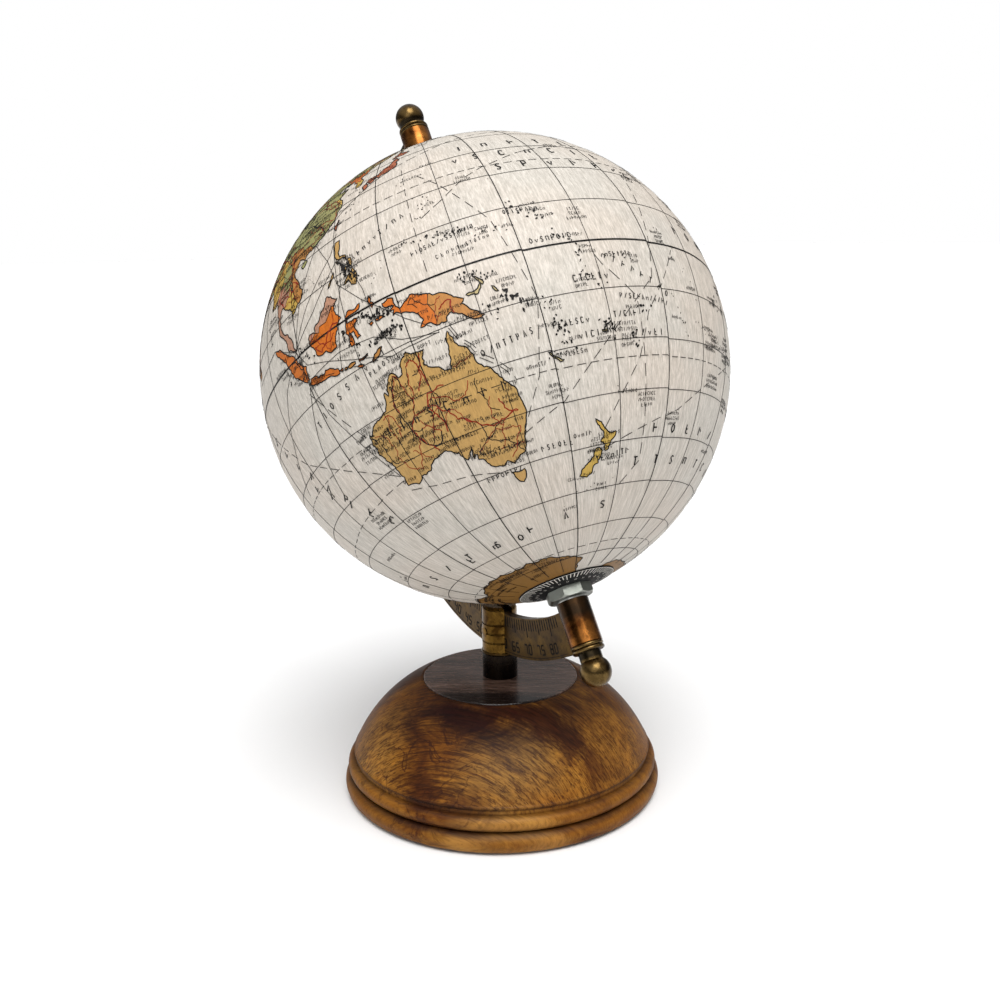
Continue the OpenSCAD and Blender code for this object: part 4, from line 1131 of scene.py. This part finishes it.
# Island groups: from lon,lat to lon,lat, how many islands, and their size in degrees
ISLANDS = [
    ("166,11 172,6", 22, 0.7), ("173,3 177,-2.5", 14, 0.7), ("176,-5.5 180,-10", 12, 0.6),
    ("187.5,-13.6 190,-14.3", 6, 0.9), ("184.5,-18.5 185.5,-21.5", 12, 0.7),
    ("177.5,-16.3 181,-19", 18, 0.8), ("166.6,-13.5 169.5,-20", 18, 0.9),
    ("156.5,-6.8 162,-10.8", 20, 1.1), ("165.8,-10.3 168,-12", 6, 0.6), ("138,9.5 163,5.5", 40, 0.65),
    ("144.6,13.3 146,20", 12, 0.5), ("185.3,-2.8 189,-4.6", 8, 0.5), ("199,5 209,-11", 12, 0.5),
    ("208,-16 228,-21", 40, 0.45), ("198,-10 203,-21", 10, 0.45), ("200,22 204.5,20.5", 7, 0.9),
    ("219,-8 221,-10.5", 8, 0.6), ("146,44 156,50", 14, 0.7), ("177,52 196,54", 16, 0.8),
    ("298,11 295,18", 12, 0.6), ("124,-1 132,-3", 34, 1.0), ("125,-7 134,-6", 32, 1.0),
    ("98,2 100.5,-4", 9, 0.8), ("105,1 109,-3", 12, 0.7), ("121,13 126,7", 44, 1.0),
    ("124,25 130,31", 12, 0.6), ("73,8 73,-1", 12, 0.4), ("54,-4 57,-10", 8, 0.4),
    ("55.5,-21 57.7,-20", 3, 0.9), ("92.5,14 93.8,7", 9, 0.6), ("-16,28 -13,29", 6, 0.7),
    ("-31,39.5 -25,37", 7, 0.6), ("-25,17 -23,15", 7, 0.6), ("-92,0 -89.5,-1", 6, 0.7),
    ("-78,26.5 -73,22", 18, 0.7), ("24,40 28,36", 14, 0.6), ("2,39.5 9,40.5", 5, 1.2),
    ("118,-1 122,-8", 20, 0.8), ("150,-1.8 155,-4", 14, 0.8), ("147,-2 150,-2.5", 5, 0.8),
    ("151,-8.5 154.5,-11.5", 9, 0.7), ("142,-10 143,-9.6", 6, 0.3), ("164,-21 168,-20.7", 8, 0.6),
    ("-75,-42 -74,-53", 26, 0.9), ("-135,58 -129,52", 20, 0.9), ("12,55 22,59", 8, 0.8),
    ("-7,58 -1,60.5", 12, 0.5), ("165,-50 179,-48", 6, 0.5), ("68,-49 70,-49.5", 3, 1.2),
    ("128,33 129.5,33.5", 4, 0.5), ("106,8.5 108,10.5", 4, 0.4), ("111,17 116,9", 14, 0.3),
    ("158,-54 160,-53", 2, 0.6), ("-38,-54 -36,-54.5", 3, 0.9), ("178,-29 182,-31", 3, 0.4),
    ("153,24 166,19", 4, 0.35), ("141,24 142,30", 6, 0.4), ("129,4 134,8", 7, 0.4),
    ("-64,32 -65,32.5", 2, 0.4),
]


# Corners of each small island
ISLAND_SIDES = 8


def make_islands():
    """Small lumpy islands, scattered along each group's line."""
    sheet = Sheet()
    for number, (ends, count, size) in enumerate(ISLANDS):
        rng = random.Random(900 + number)
        (a, b), (c, d) = parse(ends)
        for k in range(count):
            share = (k + rng.random()) / count
            lon = a + (c - a) * share + rng.gauss(0, 0.7)
            lat = b + (d - b) * share + rng.gauss(0, 0.5)
            reach_x, reach_y = size * rng.uniform(0.2, 0.6), size * rng.uniform(0.16, 0.38)
            lean = rng.uniform(0, math.pi)
            rim = []
            for corner in range(ISLAND_SIDES):
                angle = corner * 2 * math.pi / ISLAND_SIDES
                x = reach_x * math.cos(angle) * rng.uniform(0.6, 1.2)
                y = reach_y * math.sin(angle) * rng.uniform(0.6, 1.2)
                rim.append(on_ball(lon + x * math.cos(lean) - y * math.sin(lean),
                                   lat + x * math.sin(lean) + y * math.cos(lean), INK_R + ISLAND_UP))
            sheet.add(rim, [list(range(ISLAND_SIDES))])
    map_piece(sheet, "map_islands", [MATERIALS["ink"]])


# ---------------------------------------------------------------- marks that stand for place names

# Simple marks in place of letters, each a line or two of x,y points in a box 0.5 wide and 1 high
GLYPHS = [[parse(line) for line in glyph.split("|")] for glyph in (
    "0,0 0,1 0.5,0.5", "0,0 0.25,1 0.5,0", "0,1 0.5,1|0.25,0 0.25,1", "0,0 0,1|0,0.5 0.5,0.5",
    "0.5,0.1 0.1,0 0,0.3 0,0.7 0.1,1 0.5,0.9", "0,0.1 0,0.9 0.5,0.9 0.5,0.1", "0.2,0 0.2,1", "0,0 0.5,1",
    "0,0 0,0.6 0.5,0.6 0.5,0", "0,0.6 0.25,0 0.5,0.6", "0.25,0 0,0.3 0,0.7 0.25,1 0.5,0.7 0.5,0.3 0.25,0",
    "0.5,0.9 0.2,1 0,0.75 0.45,0.3 0.3,0 0,0.1", "0,0 0,1 0.45,0.85 0.4,0.5 0,0.45",
    "0,1 0,0 0.5,0|0,0.5 0.3,0.5",
)]


# The thinnest stroke of a mark
THIN_STROKE = 0.11 * MM


def mark_name(sheet, rng, lon, lat, count, high, angle=0.0, pitch=0.85, stroke=0.11):
    """A row of random marks of that height in degrees, centred at lon, lat and turned by angle."""
    cosine, sine = math.cos(angle * DEG), math.sin(angle * DEG)
    widen = 1 / max(0.2, math.cos(lat * DEG))

    def spot(u, v):
        return lon + (u * cosine - v * sine) * widen, lat + u * sine + v * cosine

    for k in range(count):
        left = (k - count / 2) * pitch * high
        for line in rng.choice(GLYPHS):
            ribbon(sheet, [spot(left + x * high, (y - 0.5) * high) for x, y in line],
                   max(stroke * high * DEG * BALL_R, THIN_STROKE), TEXT_R)


# Large spaced rows: lon, lat, how many marks, their height in degrees, the row's angle, spacing
BIG_NAMES = [
    (180, 33, 5, 1.9, -2, 3.1), (181, 27.5, 7, 1.9, -2, 2.9), (184, 22, 5, 1.9, -2, 2.9),
    (210, -38, 5, 1.7, 0, 3.2), (215, -45, 7, 1.7, 0, 3.2), (88, -20, 6, 1.8, -55, 2.6),
    (96, -32, 5, 1.8, -50, 2.6), (150, -55.5, 5, 1.7, 4, 5), (110, -56, 6, 1.7, -4, 4),
    (-35, 35, 8, 1.7, 5, 2.8), (-30, 27, 5, 1.7, 5, 3), (-22, -22, 8, 1.7, 5, 2.8),
    (-15, -32, 5, 1.7, 5, 3), (-130, 5, 7, 1.7, 0, 3.2), (-128, -10, 5, 1.7, 0, 3),
    (134, -23.5, 9, 1.6, -1, 2.3), (155, -16.2, 8, 1.1, 6, 1.5), (161, -38, 6, 1.0, 0, 1.4),
    (125, -11.6, 5, 0.9, 8, 1.5), (116, -11.5, 9, 1.2, 12, 2.3), (20, 5, 6, 1.8, 30, 3),
    (100, 60, 6, 1.8, 0, 4), (-100, 45, 7, 1.7, 0, 3), (-58, -12, 6, 1.7, -35, 3),
    (105, 35, 5, 1.5, 0, 3), (78, 20, 5, 1.3, -40, 2.4), (190, -7.5, 8, 1.1, -28, 1.9),
    (133, 14, 10, 1.1, 18, 1.5), (148, 7, 16, 0.85, 6, 1.0), (152, 4.2, 12, 0.7, 5, 1.5),
    (168, 9, 8, 0.9, 0, 1.0), (172, 1.6, 8, 1.0, 0, 1.1), (178, -7.4, 6, 1.2, 0, 1.1),
    (171, -15.4, 7, 1.0, 0, 1.1), (174.6, -18.2, 4, 1.1, 0, 1.1), (190, -12.3, 12, 0.9, -6, 1.1),
    (184, -15.2, 5, 1.0, 0, 1.1), (190, -19, 5, 1.1, 0, 1.4), (170, -21, 7, 0.8, 0, 1.0),
    (143, -40.5, 8, 0.9, 2, 1.0), (145, -35.2, 8, 0.9, 0, 1.1), (178, -42.6, 7, 1.1, 6, 1.0),
    (169, -37, 5, 0.8, 0, 1.0), (122, -24, 8, 0.9, 0, 1.1), (186, -3.2, 7, 0.9, 0, 1.0),
    (160, -22, 7, 0.7, 0, 1.0),
]


# Height of the small marks and the step from line to line, in degrees
SMALL_HIGH = 0.7
LINE_STEP = 1.1
# The latitude beyond which land carries no names
POLAR_WASTE = 74


def make_names(inner_spots):
    """Rows of marks where a map has names: the big ones as listed, small ones over land and sea."""
    big, east, west, small = Sheet(), Sheet(), Sheet(), Sheet()
    rng = random.Random(41)
    for lon, lat, count, high, angle, pitch in BIG_NAMES:
        mark_name(big, rng, lon, lat, count, high * 1.1, angle, pitch, 0.17)
    inhabited = [spot for spot in inner_spots if abs(spot[1]) < POLAR_WASTE]
    for lon, lat in rng.sample(inhabited, len(inhabited) // 3):
        inland = east if 50 < lon % 360 < 230 else west
        mark_name(inland, rng, lon, lat, rng.randint(4, 9), rng.choice((0.65, 0.7, 0.8)), rng.uniform(-4, 4))
    for ends, count, _ in ISLANDS:
        (a, b), (c, d) = parse(ends)
        rows = max(1, count // 7)
        for k in range(rows):
            share = (k + 0.5) / rows
            lon = a + (c - a) * share + rng.uniform(1.5, 3.5) * rng.choice((-1, 1))
            lat = b + (d - b) * share
            for line in range(rng.randint(1, 2)):
                mark_name(small, rng, lon, lat - line * LINE_STEP, rng.randint(4, 8), SMALL_HIGH,
                          rng.uniform(-3, 5))
    for _ in range(100):
        lon, lat = rng.uniform(0, 360), math.degrees(math.asin(rng.uniform(-0.85, 0.85)))
        for line in range(rng.randint(1, 3)):
            mark_name(small, rng, lon, lat - line * LINE_STEP, rng.randint(5, 10), SMALL_HIGH)
    coast = parse(LAND_SHAPES["australia"][0])
    for lon, lat in rng.sample(coast, len(coast) // 3):
        outwards = 1 if lon > 134 else -1
        mark_name(small, rng, lon + 2.6 * outwards, lat, rng.randint(5, 9), SMALL_HIGH, rng.uniform(-3, 6))
    map_piece(big, "map_titles", [MATERIALS["ink"]])
    map_piece(east, "map_land_names_east", [MATERIALS["ink"]])
    map_piece(west, "map_land_names_west", [MATERIALS["ink"]])
    map_piece(small, "map_sea_names", [MATERIALS["ink"]])


# ---------------------------------------------------------------- hour dials

def polar_point(radius_out, turn, ball, side):
    """A point of a dial: its distance from the polar axis, its angle round it, on a sphere of radius ball."""
    rise = math.sqrt(ball * ball - radius_out * radius_out)
    flat = EAST_0 * math.cos(turn * DEG) + EAST_90 * math.sin(turn * DEG)
    return CENTRE + flat * radius_out + POLE * rise * side


def dial_stroke(sheet, inner, outer, turn, width, ball, side):
    """A radial mark between two distances from the axis."""
    half = [math.degrees(width / 2 / r) for r in (inner, outer)]
    corners = [(inner, turn - half[0]), (outer, turn - half[1]),
               (outer, turn + half[1]), (inner, turn + half[0])]
    sheet.add([polar_point(r, t, ball, side) for r, t in corners], [[0, 1, 2, 3]])


def dial_ring(sheet, radius, width, ball, side):
    """A thin line round the polar axis."""
    turns = range(0, 360, 4)
    rows = [[polar_point(radius + s * width / 2, t, ball, side) for t in turns] for s in (-1, 1)]
    sheet.strip(*rows, closed=True)


# Widths of the dial's long strokes, and of its rim and its short ticks
DIAL_STROKE = 0.22 * MM
FINE_STROKE = 0.12 * MM


def make_dials():
    """White marks on the black dials: a rim line, 72 strokes, and pairs of short ticks near the nut."""
    lift = DIAL_R + 0.02 * MM
    outer = DIAL_EDGE - 0.25 * MM
    for name, side in (("north", 1), ("south", -1)):
        sheet = Sheet()
        dial_ring(sheet, outer, FINE_STROKE, lift, side)
        rng = random.Random(7 + side)
        for k in range(72):
            length = (2.9 if k % 3 == 0 else 2.2) * MM
            dial_stroke(sheet, outer - length, outer, k * 5, DIAL_STROKE, lift, side)
        for k in range(24):
            inner = outer - (4.6 + rng.uniform(0, 0.3)) * MM
            dial_stroke(sheet, inner, inner + 0.8 * MM, k * 15 - 1.2, FINE_STROKE, lift, side)
            dial_stroke(sheet, inner + 0.1 * MM, inner + 0.7 * MM, k * 15 + 1.6, FINE_STROKE, lift, side)
        piece = sheet.build(name + "_dial_marks", [MATERIALS["dial_mark"]], INK_T, from_centre)
        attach(piece, "ball")


# ---------------------------------------------------------------- meridian engraving

ARC_IN = min((v.co - CENTRE).length for v in frame["nodes"]["meridian_arc"].data.vertices)
ARC_OUT = reach("meridian_arc")
ARC_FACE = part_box("meridian_arc")[1].y
# The engraving's thickness, how far it stands proud of the face, and the width of its strokes
ENGRAVING_T = 0.02 * MM
ENGRAVING_UP = 0.015 * MM
ENGRAVING_LINE = 0.5 * MM
RIM_LINE = 0.18 * MM
# How far in from the outer edge its line and the numbers lie, and the numbers' height
RIM_IN = 0.7 * MM
NUMBER_IN = 1.6 * MM
NUMBER_HIGH = 2.6 * MM


def arc_point(radius, lat, side):
    """A point on a flat face of the meridian, by its latitude on the -X side of the polar axis."""
    return (CENTRE + (POLE * math.sin(lat * DEG) - EAST_0 * math.cos(lat * DEG)) * radius
            + Vector((0, side * (ARC_FACE + ENGRAVING_UP), 0)))


def arc_mark(sheet, r0, r1, lat0, lat1, side):
    """A straight engraved stroke between two points of the face."""
    a, b = arc_point(r0, lat0, side), arc_point(r1, lat1, side)
    across = (b - a).cross(Vector((0, 1, 0))).normalized() * ENGRAVING_LINE / 2
    sheet.add([a - across, b - across, b + across, a + across], [[0, 1, 2, 3]])


# Strokes of the digits, as in a plain engraved numeral, in a box 1 wide and 2 high
DIGITS = {
    "0": "00 10 12 02 00", "1": "10 12", "2": "02 12 11 01 00 10", "3": "02 12 11 01|11 10 00",
    "4": "02 01 11|12 10", "5": "12 02 01 11 10 00", "6": "12 02 00 10 11 01", "7": "02 12 10",
    "8": "00 02 12 10 00|01 11", "9": "10 12 02 01 11",
}


def arc_number(sheet, text, lat, radius, size, side):
    """A number engraved across the strip, its digits reading along the arc."""
    step = math.degrees(size / radius)
    for place_in, digit in enumerate(text):
        start = lat + (place_in - len(text) / 2) * step * 0.85 * side
        for stroke in DIGITS[digit].split("|"):
            corners = [(int(c[0]), int(c[1])) for c in stroke.split()]
            for (x0, y0), (x1, y1) in zip(corners, corners[1:]):
                arc_mark(sheet, radius - y0 * size / 2, radius - y1 * size / 2,
                         start + side * x0 * step / 2, start + side * x1 * step / 2, side)


def make_engraving():
    """Degree ticks from the inner edge, a line along the outer edge and a number every five degrees."""
    for name, side in (("front", 1), ("back", -1)):
        sheet = Sheet()
        for lat in range(-83, 84):
            depth = 5.2 if lat % 10 == 0 else 4.4 if lat % 5 == 0 else 3.4
            arc_mark(sheet, ARC_IN + 0.4 * MM, ARC_IN + depth * MM, lat, lat, side)
        rim = [[arc_point(ARC_OUT - RIM_IN + s * RIM_LINE / 2, lat, side) for lat in range(-84, 85, 2)]
               for s in (-1, 1)]
        sheet.strip(*rim)
        for lat in range(-80, 85, 5):
            arc_number(sheet, str(abs(lat)), lat, ARC_OUT - NUMBER_IN, NUMBER_HIGH, side)
        piece = sheet.build("meridian_scale_" + name, [MATERIALS["engraved"]], ENGRAVING_T,
                            lambda point, s=side: Vector((0, s, 0)))
        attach(piece, "stand")


# ---------------------------------------------------------------- build

make_gores()
make_graticule()
make_routes()
spots = make_lands()
make_islands()
make_names(spots)
make_dials()
make_engraving()


# ---------------------------------------------------------------- studio

# Half the side of the floor
FLOOR_HALF = 6.0


def direction(azimuth, elevation):
    """The way from the object to a place at these angles, the azimuth from -Y towards +X."""
    a, e = azimuth * DEG, elevation * DEG
    return Vector((math.sin(a) * math.cos(e), -math.cos(a) * math.cos(e), math.sin(e)))


def make_floor():
    """A plain pale floor."""
    mesh = bpy.data.meshes.new("floor")
    corners = [(x * FLOOR_HALF, y * FLOOR_HALF, 0) for x, y in ((-1, -1), (1, -1), (1, 1), (-1, 1))]
    mesh.from_pydata(corners, [], [(0, 1, 2, 3)])
    floor = add_object("floor", mesh)
    material, _, shader = new_material("floor")
    shader.inputs["Base Color"].default_value = (0.78, 0.78, 0.78, 1)
    shader.inputs["Roughness"].default_value = 0.8
    mesh.materials.append(material)


def make_light(name, azimuth, elevation, distance, size, power):
    """A soft square light aimed a little below the middle of the ball."""
    data = bpy.data.lights.new(name, "AREA")
    data.shape = "SQUARE"
    data.size = size
    data.energy = power
    light = add_object(name, data)
    away = direction(azimuth, elevation)
    light.location = CENTRE * 0.7 + away * distance
    light.rotation_euler = away.to_track_quat("Z", "Y").to_euler()


def make_sun(azimuth, elevation, strength, angle):
    """A wide soft sun; angle is its width in degrees."""
    data = bpy.data.lights.new("sun", "SUN")
    data.energy = strength
    data.angle = angle * DEG
    light = add_object("sun", data)
    light.rotation_euler = direction(azimuth, elevation).to_track_quat("Z", "Y").to_euler()


def make_world():
    """A studio room: bright overhead, dim at the sides, with a plain white backdrop."""
    world = bpy.data.worlds.new("studio")
    bpy.context.scene.world = world
    world.use_nodes = True
    tree = world.node_tree
    background = tree.nodes["Background"]
    coords = tree.nodes.new("ShaderNodeTexCoord")
    up = split_xyz(tree, coords.outputs["Generated"])[2]
    room = ramp(tree, up, (0.0, 0.1), (0.22, 0.15), (0.6, 0.62), (1.0, 1.1))
    backdrop = tree.nodes.new("ShaderNodeLightPath").outputs["Is Camera Ray"]
    tree.links.new(mix_colour(tree, backdrop, room, (1.0, 1.0, 1.0)), background.inputs[0])


# The camera's angles in degrees, its place from the middle of the ball, and its lens in millimetres
CAMERA_AZIMUTH = 59.0
CAMERA_ELEVATION = 13.2
CAMERA_ROLL = -0.93
CAMERA_AWAY = 323.5 * MM
CAMERA_SIDE = 1.3 * MM
CAMERA_DROP = 35.0 * MM
CAMERA_LENS = 42.4


def make_camera():
    """The camera, turned about its own line of sight by its roll."""
    a, r = CAMERA_AZIMUTH * DEG, CAMERA_ROLL * DEG
    back = direction(CAMERA_AZIMUTH, CAMERA_ELEVATION)
    level = Vector((math.cos(a), math.sin(a), 0))
    upright = back.cross(level)
    right = level * math.cos(r) + upright * math.sin(r)
    up = upright * math.cos(r) - level * math.sin(r)
    data = bpy.data.cameras.new("camera")
    data.lens = CAMERA_LENS
    data.sensor_width = 36
    data.clip_start = 0.01
    camera = add_object("camera", data)
    turn = Matrix((right, up, back)).transposed().to_4x4()
    eye = CENTRE + right * CAMERA_SIDE - up * CAMERA_DROP + back * CAMERA_AWAY
    camera.matrix_world = Matrix.Translation(eye) @ turn
    bpy.context.scene.camera = camera


make_floor()
make_world()
make_sun(azimuth=70, elevation=64, strength=2.9, angle=40)
make_light("strip", azimuth=44, elevation=30, distance=0.9, size=0.5, power=1.1)
make_camera()
bpy.context.scene.view_settings.view_transform = "Standard"
